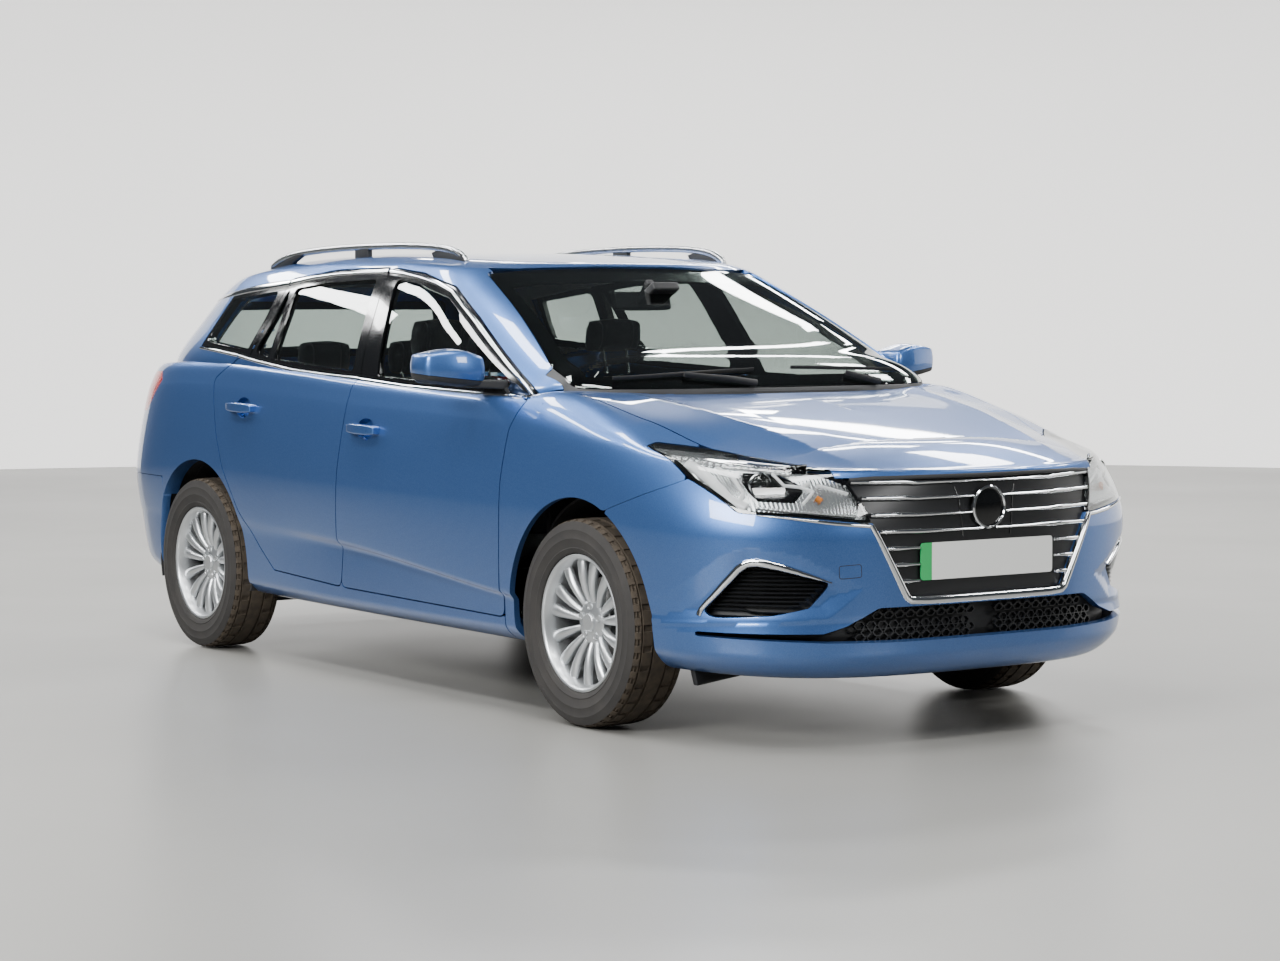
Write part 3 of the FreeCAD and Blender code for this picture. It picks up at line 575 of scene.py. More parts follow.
def strip(name, form, axes, path, section, sides=(1,), loop=False, pitch=0.02, widths=(1, 1), **ranges):
    """Trim strip laid on a form along a path; its section is (across, out) points in metres.

    The widths say how the section narrows or widens, evenly along the path.
    """
    route = closer(list(path) + ([path[0]] if loop else []), pitch)
    if loop:
        route = route[:-1]
    uv = locate(form, axes, route, **ranges)
    centre, normal = form(uv), outward(form, uv)
    if loop:
        along = np.roll(centre, -1, axis=0) - np.roll(centre, 1, axis=0)
    else:
        along = np.gradient(centre, axis=0)
    along /= np.linalg.norm(along, axis=1, keepdims=True)
    across = np.cross(along, normal)
    across /= np.linalg.norm(across, axis=1, keepdims=True)
    points, faces = [], []
    n = len(section)
    for side in sides:
        base = len(points)
        shares = np.interp(np.linspace(0, 1, len(centre)), np.linspace(0, 1, len(widths)), widths)
        for c, a, o, share in zip(centre, across, normal, shares):
            points += [tuple((c + a * s * share + o * t) * (1, side, 1)) for s, t in section]
        count = len(centre)
        for i in range(count if loop else count - 1):
            for k in range(n):
                quad = (base + i * n + k, base + i * n + (k + 1) % n,
                        base + (i + 1) % count * n + (k + 1) % n, base + (i + 1) % count * n + k)
                faces.append(quad if side > 0 else quad[::-1])
        if not loop:
            ends = [tuple(base + k for k in reversed(range(n))),
                    tuple(base + (count - 1) * n + k for k in range(n))]
            faces += [e if side > 0 else e[::-1] for e in ends]
    return object_from(name, points, faces)


def half_round(width, height, depth=0.004, steps=6):
    """Section of a strip: flat underneath and rounded on top, turned so that its faces point outwards."""
    top = [(width / 2 * math.cos(math.pi * k / steps), height * math.sin(math.pi * k / steps))
           for k in range(steps + 1)]
    return top + [(-width / 2, -depth), (width / 2, -depth)]


def tidy_normals(piece):
    """Turns a closed piece's faces outwards, with its doubles merged, and gives it back."""
    mesh = bmesh.new()
    mesh.from_mesh(piece.data)
    bmesh.ops.remove_doubles(mesh, verts=mesh.verts, dist=1e-6)
    bmesh.ops.recalc_face_normals(mesh, faces=mesh.faces)
    mesh.to_mesh(piece.data)
    mesh.free()
    return piece


def choose(piece):
    """Makes a piece the only one selected, and the active one."""
    bpy.ops.object.select_all(action="DESELECT")
    piece.select_set(True)
    bpy.context.view_layer.objects.active = piece


def edit_all():
    """Enters edit mode on the active piece with all of it selected."""
    bpy.ops.object.mode_set(mode="EDIT")
    bpy.ops.mesh.select_all(action="SELECT")


def close_edit():
    """Turns the faces outwards and leaves edit mode."""
    bpy.ops.mesh.select_all(action="SELECT")
    bpy.ops.mesh.normals_make_consistent(inside=False)
    bpy.ops.object.mode_set(mode="OBJECT")


def apply_modifier(piece, kind, **settings):
    mod = piece.modifiers.new("shape", kind)
    for key, value in settings.items():
        setattr(mod, key, value)
    bpy.context.view_layer.objects.active = piece
    bpy.ops.object.modifier_apply(modifier="shape")


def smoothed(piece):
    apply_modifier(piece, "SUBSURF", levels=1, render_levels=1)


def rounded_off(piece, width, segments, limit="ANGLE"):
    apply_modifier(piece, "BEVEL", width=width, segments=segments, limit_method=limit)


def cut_cube(size, cuts):
    """A cube cut evenly, ready to be drawn into shape."""
    bpy.ops.object.select_all(action="DESELECT")
    bpy.ops.mesh.primitive_cube_add(size=size)
    edit_all()
    bpy.ops.mesh.subdivide(number_cuts=cuts)
    bpy.ops.object.mode_set(mode="OBJECT")
    return bpy.context.object


def copied(piece, name, move=(0.0, 0.0, 0.0), mirrored=False):
    """A copy with a mesh of its own, moved, or mirrored to the car's other side."""
    twin = piece.copy()
    twin.data = piece.data.copy()
    twin.name = name
    bpy.context.scene.collection.objects.link(twin)
    twin.data.transform(Matrix.Translation(move))
    if mirrored:
        twin.data.transform(Matrix.Diagonal((1, -1, 1, 1)))
        twin.data.flip_normals()
    return twin


def joined(pieces, name):
    choose(pieces[0])
    for piece in pieces:
        piece.select_set(True)
    bpy.ops.object.join()
    pieces[0].name = name
    return pieces[0]


def with_twin(piece, name):
    """A piece joined with its mirror image."""
    return joined([piece, copied(piece, "twin", mirrored=True)], name)


def finish_piece(piece, material, body, slot, *nodes, angle=None):
    """Gives a piece its finish, its body, its slot and the construction nodes it stands for."""
    piece.data.materials.clear()
    piece.data.materials.append(material)
    if angle is not None:
        choose(piece)
        bpy.ops.object.shade_smooth_by_angle(angle=math.radians(angle))
    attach(piece, body)
    if nodes:
        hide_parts(*nodes)
    return piece


# Two-coat paint: a mid-blue metallic base under clear lacquer. The flakes sparkle, the hue deepens
# as the sheet turns away, and the lacquer mirrors the room with a trace of orange peel.
paint, tree, shader = new_material("blue_metallic_lacquer", "#36609f", 0.36, Metallic=0.78,
                                   Coat_Weight=1.0, Coat_Roughness=0.025, Coat_IOR=1.52)
place = add_node(tree, "ShaderNodeTexCoord")
flakes = add_node(tree, "ShaderNodeTexVoronoi", {"Scale": 900.0}, {"Vector": place.outputs["Object"]})
shade = add_node(tree, "ShaderNodeMapRange", {"From Max": 1.0, "To Min": 0.0, "To Max": 0.35},
                 {"Value": flakes.outputs["Color"]})
mix = add_node(tree, "ShaderNodeMixRGB", {"Color1": linear("#36609f"), "Color2": linear("#7398d4")},
               {"Fac": shade.outputs["Result"]})
tree.links.new(mix.outputs["Color"], shader.inputs["Base Color"])
peel = add_node(tree, "ShaderNodeTexNoise", {"Scale": 260.0, "Detail": 1.0},
                {"Vector": place.outputs["Object"]})
bump = add_node(tree, "ShaderNodeBump", {"Strength": 0.02, "Distance": 0.0004}, {"Height": peel.outputs["Fac"]})
tree.links.new(bump.outputs["Normal"], shader.inputs["Coat Normal"])

# Satin black moulded plastic for the inner faces of the doors and other unpainted trim
black_plastic = textured("grained_black_polypropylene", "#17181a", 0.55, "Voronoi", {"Scale": 700.0},
                         relief=(0.25, 0.0003))

# Piano-black acrylic for the pillars between the windows
gloss_black = textured("gloss_black_acrylic", "#0a0b0c", 0.08, "Noise", {"Scale": 30.0, "Detail": 4.0},
                       tone=(0.05, 0.14), Coat_Weight=0.6)

# ---------------------------------------------------------------- doors
# Four hinged doors: a pressed outer skin hemmed to a deep inner pressing, a black framed window
# above the belt and a moulded card inside. They hang on their front edges.
PILLAR_LINE = [(-183, 322), (-150, 750), (-111, 1023), (-90, 1062), (-175, 1449)]
FRONT_DOOR = drawn([(905, 308), (918, 753), (943, 917), (992, 1022), (719, 1164), (509, 1274),
                    (290, 1378), (67, 1426)] + PILLAR_LINE[::-1])
REAR_DOOR = drawn(PILLAR_LINE + [(-560, 1444), (-884, 1414), (-952, 1118), (-1040, 1118), (-1196, 1037),
                                 (-1178, 961), (-1136, 835), (-1071, 709), (-948, 551), (-795, 421),
                                 (-690, 345)])
FRONT_WINDOW = drawn([(868, 1042), (719, 1128), (509, 1238), (290, 1342), (67, 1390), (-95, 1408), (24, 1068)])
REAR_WINDOW = drawn([(-150, 1082), (-232, 1408), (-600, 1398), (-818, 1378), (-762, 1116)])
REAR_CORNER_WINDOW = drawn([(-796, 1122), (-852, 1374), (-868, 1370), (-918, 1140)])
BELT_LINE = drawn([(1300, 985), (992, 1006), (924, 1019), (226, 1039), (-127, 1059), (-630, 1082),
                   (-1055, 1128), (-1400, 1152), (-2200, 1200)])


def in_arch(p):
    """Positive inside either wheel arch, a round cut that runs down to the sill."""
    depth = [0.385 - np.hypot(p[:, 0] - x, p[:, 2] - z) for x, z in ((1.350, 0.335), (-1.295, 0.342))]
    return np.max(depth, axis=0)


under_belt = under_line(BELT_LINE)
PITCH = 0.014

# Columns: door, x and z of the middle of its handle
HANDLES = (("front_door", 0.032, 0.887), ("rear_door", -0.921, 0.936))
# Columns: name, shut line, its windows, surface ranges u on the lower body and the glasshouse
DOORS = (("front_door", FRONT_DOOR, (FRONT_WINDOW,), (1.05, 1.62), (0.1, 1.12)),
         ("rear_door", REAR_DOOR, (REAR_WINDOW, REAR_CORNER_WINDOW), (1.5, 2.0), (0.9, 2.35)))
for name, outline, windows, low_u, high_u in DOORS:
    shut = inside(SIDE_VIEW, rounded(outline, 0.03), -SHUT_GAP)
    holes = either(*[inside(SIDE_VIEW, rounded(w, 0.02)) for w in windows])
    cup = next((x, z) for door, x, z in HANDLES if door == name)
    cup_zone = inside(SIDE_VIEW, [(cup[0] + 0.060 * math.cos(k * math.pi / 16),
                                   cup[1] + 0.038 * math.sin(k * math.pi / 16)) for k in range(32)])
    skin = both(shut, under_belt, but_not(in_arch, cup_zone))
    for side, sign in SIDES:
        body = name + "_" + side
        patches = [(lower, low_u, (0.0, BELT_V), PITCH, skin)]
        if name == "rear_door":
            patches.append((glasshouse, high_u, (1.0, 1.6), PITCH, skin))
        finish_piece(panel(body + "_skin", patches, 0.024, (sign,)), paint, body, "blue_paint", body)
        inner = both(inside(SIDE_VIEW, rounded(outline, 0.03), -0.05), under_line([(-3, 1.03), (3, 1.03)]),
                     but_not(in_arch))
        finish_piece(panel(body + "_inner", [(lower, low_u, (1.0, BELT_V), 0.03, inner)], 0.045, (sign,),
                           0.026), paint, body, "blue_paint")
        frame_test = both(shut, but_not(under_belt), but_not(holes))
        finish_piece(panel(body + "_frame", [(glasshouse, high_u, (0.8, 3.3), 0.012, frame_test)],
                           0.03, (sign,), 0.001), gloss_black, body, "grille_black")

# ---------------------------------------------------------------- body sides
# Sills, wings behind the doors and the roof's side rails are one pressing on each side, spot-welded
# to the floor and painted with the shell.
WINDSCREEN = drawn([(-300, 1044), (740, 1046), (572, 1428), (430, 1442), (150, 1450), (-300, 1450)])
QUARTER_WINDOW = drawn([(-985, 1148), (-937, 1372), (-1318, 1338), (-1372, 1178)])
TAILGATE = drawn([(-300, 655), (520, 655), (640, 900), (690, 1060), (560, 1400), (440, 1475), (-300, 1475)])
REAR_GLASS = drawn([(-300, 1100), (590, 1100), (500, 1345), (-300, 1345)])
TAIL_LAMP = drawn([(-1714, 1057), (-1684, 1024), (-1790, 934), (-1842, 898), (-2300, 894), (-2300, 1054)])
WEDGE = drawn([(900, 1100), (900, 1035), (1080, 1000), (1300, 1100)])
door_openings = either(inside(SIDE_VIEW, rounded(FRONT_DOOR, 0.03), SHUT_GAP),
                       inside(SIDE_VIEW, rounded(REAR_DOOR, 0.03), SHUT_GAP))
tailgate_zone = lambda grow: both(inside(FRONT_VIEW, rounded(TAILGATE, 0.03), grow), within(0, -9, -1.7))
windscreen_zone = lambda grow: both(inside(FRONT_VIEW, rounded(WINDSCREEN, 0.03), grow), within(0, 0.15, 9))
roof_zone = both(within(1, -1, 0.548), within(0, -1.71, 0.42), within(2, 1.3, 9))
tail_lamp_zone = inside(SIDE_VIEW, TAIL_LAMP)
rear_bumper_zone = both(within(0, -9, -1.6), within(2, -1, 0.65))
quarter_zone = inside(SIDE_VIEW, rounded(QUARTER_WINDOW, 0.02))
QUARTER_TRIM = drawn([(-958, 1119), (-885, 1410), (-1024, 1405), (-1335, 1372), (-1408, 1154), (-1060, 1132)])
quarter_trim_zone = inside(SIDE_VIEW, QUARTER_TRIM)
side_zone = both(either(within(0, -9, 0.907), inside(SIDE_VIEW, WEDGE)),
                 but_not(door_openings, in_arch, tailgate_zone(SHUT_GAP), tail_lamp_zone, rear_bumper_zone))
cowl_zone = both(within(0, 0.95, 9), within(1, -1, 0.742), within(2, 0, 1.2))
rail_zone = but_not(door_openings, quarter_trim_zone, cowl_zone, tailgate_zone(SHUT_GAP), windscreen_zone(0.0),
                    roof_zone, tail_lamp_zone)
for side, sign in SIDES:
    finish_piece(panel("side_skin_" + side, [
        (lower, (1.0, 2.98), (0.0, 7.6), PITCH, side_zone),
        (glasshouse, (0.05, 2.95), (1.0, 4.0), PITCH, rail_zone)], 0.055, (sign,)),
        paint, "body", "blue_paint", "body_side_" + side)

# ---------------------------------------------------------------- roof
# One pressing between the two roof rails, its drip channels hidden under the rails.
finish_piece(panel("roof_skin", [(glasshouse, (0.0, 3.0), (3.0, 5.0), 0.02,
                                  both(roof_zone, but_not(windscreen_zone(0.0), tailgate_zone(SHUT_GAP))))],
                   0.02, (1, -1)), paint, "body", "blue_paint", "roof_panel")

# ---------------------------------------------------------------- bonnet
# A clam of two pressings, hinged behind at the windscreen, with two long ridges to the grille.
BONNET = drawn([(1280, -300), (1280, 0), (1268, 200), (1241, 400), (1212, 560), (1180, 680), (1142, 751),
                (1300, 742), (1493, 728), (1778, 676), (1900, 628), (2010, 574), (2132, 514), (2400, 480),
                (2400, -300)])
bonnet_zone = lambda grow: both(inside(TOP_VIEW, BONNET, grow), within(2, 0.802 - grow, 9))
finish_piece(panel("bonnet_skin", [(lower, (0.0, 1.3), (5.6, 9.0), PITCH, bonnet_zone(-SHUT_GAP))],
                   0.020, (1, -1)), paint, "bonnet", "blue_paint", "bonnet")

# ---------------------------------------------------------------- front wings
# Bolted pressings between the doors, the bonnet, the bumper and the lamps.
LAMP = drawn([(424, 670), (497, 838), (600, 870), (822, 905), (812, 800), (758, 704), (600, 690)])
GRILLE = drawn([(-300, 447), (303, 447), (424, 670), (488, 806), (488, 850), (-300, 850)])
BUMPER_LINE = drawn([(2400, 830), (1960, 830), (1850, 800), (1791, 777), (1652, 732), (1480, 678),
                     (1480, 100), (2400, 100)])
lamp_zone = lambda grow: both(inside(FRONT_VIEW, rounded(LAMP, 0.012), grow), within(0, 1.64, 9),
                              but_not(bonnet_zone(0.0)))
grille_zone = lambda grow: both(inside(FRONT_VIEW, GRILLE, grow), within(0, 1.9, 9), but_not(bonnet_zone(0.0)))
bumper_zone = inside(SIDE_VIEW, BUMPER_LINE)
wing_zone = both(within(0, 0.907 + 2 * SHUT_GAP, 9),
                 but_not(inside(SIDE_VIEW, WEDGE), in_arch, bonnet_zone(SHUT_GAP), lamp_zone(0.0015),
                         grille_zone(0.0), bumper_zone, door_openings))
finish_piece(panel("front_wings", [(lower, (0.2, 1.2), (0.0, 8.0), PITCH, wing_zone)], 0.02, (1, -1)),
             paint, "body", "blue_paint", "front_fenders")

# ---------------------------------------------------------------- front bumper
# One moulded skin, painted with the body, with a scoop on each side and a low wide slot.
FOG_POCKET = drawn([(540, 500), (600, 425), (690, 402), (812, 390), (790, 470), (746, 562)])
LOWER_SLOT = drawn([(-300, 318), (336, 318), (560, 322), (835, 336), (842, 350), (570, 350), (500, 372),
                    (405, 422), (-300, 422)])
pocket_zone = both(inside(FRONT_VIEW, rounded(FOG_POCKET, 0.02)), within(0, 1.7, 9))
slot_zone = both(inside(FRONT_VIEW, rounded(LOWER_SLOT, 0.01)), within(0, 1.9, 9))
bumper_skin = both(inside(SIDE_VIEW, BUMPER_LINE, -0.0015),
                   but_not(in_arch, lamp_zone(0.0015), grille_zone(0.0), pocket_zone, slot_zone,
                           bonnet_zone(SHUT_GAP)))
finish_piece(panel("bumper_skin", [(lower, (0.0, 1.0), (0.0, 7.0), 0.012, bumper_skin)], 0.02, (1, -1)),
             paint, "body", "bumper_paint", "front_bumper")

# ---------------------------------------------------------------- rear bumper
# A moulded skin from wheel arch to wheel arch, below the tailgate.
finish_piece(panel("rear_bumper_skin", [(lower, (2.0, 3.0), (0.0, 6.0), PITCH,
                                         both(within(0, -9, -1.6 - SHUT_GAP), within(2, -1, 0.65 - SHUT_GAP),
                                              but_not(in_arch, tailgate_zone(SHUT_GAP))))], 0.03, (1, -1)),
             paint, "body", "bumper_paint", "rear_bumper")

# ---------------------------------------------------------------- tailgate
# A full-height gate hinged at the roof, with the window bonded into it.
rear_hole = both(inside(FRONT_VIEW, rounded(REAR_GLASS, 0.03)), within(0, -9, -1.7))
finish_piece(panel("tailgate_skin", [
    (lower, (2.2, 3.0), (4.0, 9.0), PITCH, both(tailgate_zone(-SHUT_GAP), within(2, -1, 1.12))),
    (glasshouse, (2.0, 3.0), (1.0, 5.0), PITCH, both(tailgate_zone(-SHUT_GAP), but_not(rear_hole)))],
    0.03, (1, -1)), paint, "tailgate", "blue_paint", "tailgate")

# ---------------------------------------------------------------- glazing
# Laminated windscreen and tempered side and rear panes, lightly green, bonded or in rubber runs.
# A fired black border hides the bonding of the fixed panes.
glass = textured("float_glass", "#c3ccc8", 0.0, "Noise", {"Scale": 4.0, "Detail": 5.0}, tone=(0.0, 0.015),
                 IOR=1.5, Transmission_Weight=1.0)

finish_piece(panel("windscreen", [(glasshouse, (0.0, 1.0), (0.9, 4.2), 0.015, windscreen_zone(-0.004))],
                   0.005, (1, -1), 0.004), glass, "body", "tinted_glass", "fixed_glass")
finish_piece(panel("windscreen_border", [(glasshouse, (0.0, 1.1), (0.7, 4.4), 0.015, both(
    windscreen_zone(0.02), but_not(windscreen_zone(-0.045))))], 0.006, (1, -1), 0.012),
    gloss_black, "body", "grille_black")
finish_piece(panel("tailgate_pane", [(glasshouse, (2.0, 3.0), (0.9, 4.2), 0.015, both(
    inside(FRONT_VIEW, rounded(REAR_GLASS, 0.03), -0.003), within(0, -9, -1.7)))],
    0.004, (1, -1), 0.004), glass, "tailgate", "tinted_glass", "tailgate_glass")
finish_piece(panel("tailgate_pane_border", [(glasshouse, (2.0, 3.0), (0.7, 4.4), 0.015, both(
    inside(FRONT_VIEW, rounded(REAR_GLASS, 0.03), 0.02), within(0, -9, -1.7),
    but_not(inside(FRONT_VIEW, rounded(REAR_GLASS, 0.05), -0.04))))], 0.006, (1, -1), 0.010),
    gloss_black, "tailgate", "grille_black")
finish_piece(panel("cowl_trim", [(glasshouse, (0.0, 1.0), (0.1, 1.6), 0.015, both(
    cowl_zone, but_not(windscreen_zone(0.0))))], 0.006, (1, -1), 0.002), black_plastic, "body", "grille_black")
for side, sign in SIDES:
    finish_piece(panel("front_door_pane_" + side, [(glasshouse, (0.1, 1.12), (0.8, 3.3), 0.03, inside(
        SIDE_VIEW, rounded(FRONT_WINDOW, 0.02), 0.010))], 0.004, (sign,), 0.009),
        glass, "front_door_" + side, "tinted_glass", "front_door_glass_" + side)
    finish_piece(panel("rear_door_pane_" + side, [(glasshouse, (0.9, 2.35), (0.8, 3.3), 0.03, inside(
        SIDE_VIEW, rounded(w, 0.02), 0.008)) for w in (REAR_WINDOW, REAR_CORNER_WINDOW)],
        0.004, (sign,), 0.009), glass, "rear_door_" + side, "tinted_glass", "rear_door_glass_" + side)
    finish_piece(panel("quarter_pane_" + side, [(glasshouse, (1.8, 2.9), (0.8, 3.6), 0.03, inside(
        SIDE_VIEW, rounded(QUARTER_WINDOW, 0.02), 0.008))], 0.004, (sign,), 0.003),
        glass, "body", "tinted_glass")
    finish_piece(panel("quarter_trim_" + side, [(glasshouse, (1.8, 2.9), (0.8, 3.8), 0.012, both(
        quarter_trim_zone, but_not(quarter_zone, door_openings)))], 0.03, (sign,), 0.001),
        gloss_black, "body", "grille_black")

# ---------------------------------------------------------------- bright trim round the windows
# Roll-formed stainless strip, chromed, clipped along the belt and over the doors; it is cut where
# the doors are cut, and ends behind in a long point.
chrome = textured("bright_chrome_plate", "#e4e6e8", 0.06, "Noise", {"Scale": 45.0, "Detail": 3.0},
                  tone=(0.04, 0.13), Metallic=1.0)

# Columns: body, path in side view in millimetres, width in metres, share of the width along it
WINDOW_STRIPS = (
    ("front_door", "sill", [(962, 1014), (924, 1017), (600, 1027), (226, 1037), (-96, 1055)], 0.014, (1, 1)),
    ("rear_door", "sill", [(-104, 1056), (-127, 1058), (-380, 1068), (-630, 1081), (-880, 1106), (-1036, 1125)],
     0.014, (1, 1)),
    ("body", "sill", [(-1046, 1127), (-1240, 1143), (-1404, 1153)], 0.014, (1, 0.8)),
    ("front_door", "head", [(962, 1018), (900, 1056), (719, 1150), (509, 1260), (290, 1363), (180, 1392),
                            (67, 1411), (-50, 1426), (-164, 1435)], 0.019, (0.7, 1, 1, 1)),
    ("rear_door", "head", [(-182, 1436), (-380, 1436), (-560, 1431), (-720, 1420), (-872, 1402)], 0.021,
     (1, 1.05)),
    ("body", "head", [(-886, 1400), (-1024, 1390), (-1180, 1378), (-1330, 1362), (-1460, 1348), (-1600, 1334)],
     0.024, (1, 1.2, 0.9, 0.25)),
)
for side, sign in SIDES:
    for part, where, path, width, widths in WINDOW_STRIPS:
        name = "_".join(("chrome", part, where, side))
        piece = strip(name, glasshouse, SIDE_VIEW, drawn(path), half_round(width, 0.0045), (sign,),
                      widths=widths, v_range=(0.3, 4.0))
        finish_piece(tidy_normals(piece), chrome, part if part == "body" else part + "_" + side, "rail_silver",
                     angle=50)

# ---------------------------------------------------------------- grille
# A moulded black panel behind seven chromed bars and a chromed V-shaped surround. The round badge
# place in its middle is bare, and a flap round it covers the charging socket.
grille_black = textured("moulded_black_abs", "#1b1c1e", 0.34, "Noise", {"Scale": 420.0, "Detail": 2.0},
                        relief=(0.12, 0.0003))

NOSE = {"u_range": (0.0, 0.98), "v_range": (0.0, 7.2)}
finish_piece(panel("grille_panel", [(lower, (0.0, 0.6), (3.0, 7.4), 0.014, grille_zone(0.012))],
                   0.012, (1, -1), 0.016), grille_black, "body", "grille_black", "grille")
BADGE_RADIUS = 0.066
BADGE_Z = 0.706
BAR_START, PLATE_TOP, BAR_KINK = 0.266, 0.610, 0.285    # bars beside the plate start clear of it


def edge_y(z):
    """Half width of the grille at a height."""
    return float(np.interp(z, [0.447, 0.670, 0.800], [0.303, 0.424, 0.478]))


def nose_strip(name, path, section, material, slot, angle=50, sink=0.0, sides=(1, -1), **shape):
    """Strip laid on the nose, or sunk under its surface."""
    piece = strip(name, lower, FRONT_VIEW, path, [(a, out - sink) for a, out in section], sides, **shape,
                  **NOSE)
    return finish_piece(tidy_normals(piece), material, "body", slot, angle=angle)


for index, z in enumerate((0.497, 0.546, 0.595, 0.644, 0.693, 0.742, 0.788)):
    if z < PLATE_TOP:
        start = BAR_START
    elif abs(z - BADGE_Z) < BADGE_RADIUS:
        start = math.sqrt(BADGE_RADIUS ** 2 - (z - BADGE_Z) ** 2) + 0.002
    else:
        start = 0.0
    end = edge_y(z) - 0.006
    rise = 0.001 * (index - 2)
    path = [(start, z), (end, z)]
    if z > PLATE_TOP:
        path[1:] = [(BAR_KINK - 0.02, z), (BAR_KINK + 0.02, z + rise), (end, z + rise * 1.5)]
    nose_strip("grille_bar_%d" % index, path, half_round(0.013, 0.009, 0.006), chrome, "rail_silver", 40, 0.008,
               widths=(0.75, 0.8, 1.25, 1.0))
nose_strip("grille_surround", drawn([(0, 437), (240, 437), (297, 440), (312, 450), (330, 482), (380, 574),
                                     (431, 668)]),
           half_round(0.026, 0.008, 0.010), chrome, "rail_silver", widths=(1, 1, 1, 0.8, 0.62))
nose_strip("lamp_lower_strip", drawn([(431, 664), (480, 668), (540, 674), (600, 682), (660, 690), (722, 697)]),
           half_round(0.011, 0.005, 0.006), chrome, "rail_silver", widths=(1.2, 1, 0.35))
nose_strip("bonnet_edge_seal", drawn([(0, 803), (240, 804), (400, 803), (470, 799)]),
           half_round(0.012, 0.002, 0.012), black_plastic, "grille_black")
# Seams of the charging flap: two upright lines that lean in towards the plate
for side, sign in SIDES:
    nose_strip("flap_seam_" + side, drawn([(118, 772), (108, 744), (96, 640), (92, 620)]),
               half_round(0.004, 0.0015, 0.002), gloss_black, "grille_black", sink=0.0155, sides=(sign,))

# ---------------------------------------------------------------- lower intake and fog scoops
# Black moulded inserts behind the bumper skin: hexagon mesh across the low slot with a plain
# cover for the distance sensor, and fine ribs in the side scoops under a chromed blade.
finish_piece(panel("slot_back", [(lower, (0.0, 0.8), (2.0, 6.0), 0.02,
                                  both(inside(FRONT_VIEW, LOWER_SLOT, 0.02), within(0, 1.7, 9)))],
                   0.010, (1, -1), 0.055), black_plastic, "body", "grille_black")
finish_piece(panel("scoop_back", [(lower, (0.05, 0.9), (2.0, 6.4), 0.02, both(
    inside(FRONT_VIEW, rounded(FOG_POCKET, 0.02), 0.015), within(0, 1.6, 9)))], 0.010, (1, -1), 0.040),
    black_plastic, "body", "grille_black")
ribs = []
for index, z in enumerate(np.arange(0.404, 0.560, 0.0125)):
    low_y = float(np.interp(z, [0.402, 0.500, 0.562], [0.660, 0.540, 0.740]))
    high_y = float(np.interp(z, [0.390, 0.470, 0.562], [0.812, 0.790, 0.748]))
    if high_y - low_y > 0.03:
        rib = strip("scoop_rib_%02d" % index, lower, FRONT_VIEW, [(low_y - 0.004, z), (high_y + 0.004, z)],
                    [(x, o - 0.030) for x, o in half_round(0.006, 0.012, 0.012, 4)], (1, -1), **NOSE)
        ribs.append(tidy_normals(rib))
finish_piece(joined(ribs, "scoop_ribs"), grille_black, "body", "grille_black", angle=40)
nose_strip("scoop_blade", drawn([(816, 396), (802, 436), (780, 490), (757, 538), (742, 556), (720, 560),
                                 (675, 548), (610, 525), (545, 502)]),
           half_round(0.024, 0.010, 0.016), chrome, "rail_silver",
           widths=(0.7, 0.85, 1.0, 1.1, 1.15, 0.9, 0.6, 0.3), pitch=0.012)
cells = []
for row in range(5):
    for column in range(-12, 13):
        y = (column + 0.5 * (row % 2)) * 0.038
        z = 0.332 + row * 0.020
        if abs(y) < 0.055 or abs(y) > np.interp(z, [0.33, 0.372, 0.422], [0.46, 0.46, 0.37]):
            continue
        bpy.ops.mesh.primitive_circle_add(vertices=6, radius=0.0135, fill_type="NGON")
        cell = bpy.context.object
        bpy.ops.object.mode_set(mode="EDIT")
        bpy.ops.mesh.inset(thickness=0.0022)
        bpy.ops.mesh.delete(type="FACE")
        bpy.ops.mesh.select_all(action="SELECT")
        bpy.ops.mesh.extrude_region_move(TRANSFORM_OT_translate={"value": (0, 0, 0.014)})
        bpy.ops.mesh.select_all(action="SELECT")
        bpy.ops.mesh.normals_make_consistent(inside=False)
        bpy.ops.object.mode_set(mode="OBJECT")
        uv = locate(lower, FRONT_VIEW, [(abs(y), z)], **NOSE)
        spot, facing = lower(uv)[0], outward(lower, uv)[0]
        sign = 1 if y >= 0 else -1
        spot, facing = spot * (1, sign, 1), Vector(facing * (1, sign, 1))
        turn = facing.to_track_quat("Z", "Y").to_matrix().to_4x4()
        cell.data.transform(Matrix.Translation(spot) @ turn @ Matrix.Diagonal((1.35, 1.0, 1.0, 1.0))
                            @ Matrix.Rotation(math.radians(30), 4, "Z") @ Matrix.Translation((0, 0, -0.035)))
        cells.append(cell)
finish_piece(joined(cells, "slot_mesh"), grille_black, "body", "grille_black")

# The towing eye's cap is a fine line in the bumper, and a rubber flap hangs ahead of each front wheel
TOW_CAP = rounded([(0.462, 0.515), (0.528, 0.511), (0.530, 0.549), (0.464, 0.553)], 0.008)
finish_piece(strip("tow_cap_seam", lower, FRONT_VIEW, TOW_CAP, half_round(0.0022, 0.0004, 0.002), (-1,),
                   loop=True, pitch=0.008, **NOSE), black_plastic, "body", "grille_black")
flap = cut_cube(1.0, 4)
for vertex in flap.data.vertices:
    a, b, c = vertex.co * 2
    vertex.co = (1.765 + a * 0.012 + 0.035 * b - 0.012 * c, 0.655 + b * 0.105, 0.203 + c * (0.026 + 0.004 * b))
rounded_off(flap, 0.004, 2)
finish_piece(with_twin(tidy_normals(flap), "wheel_deflectors"), black_plastic, "body", "grille_black", angle=40)

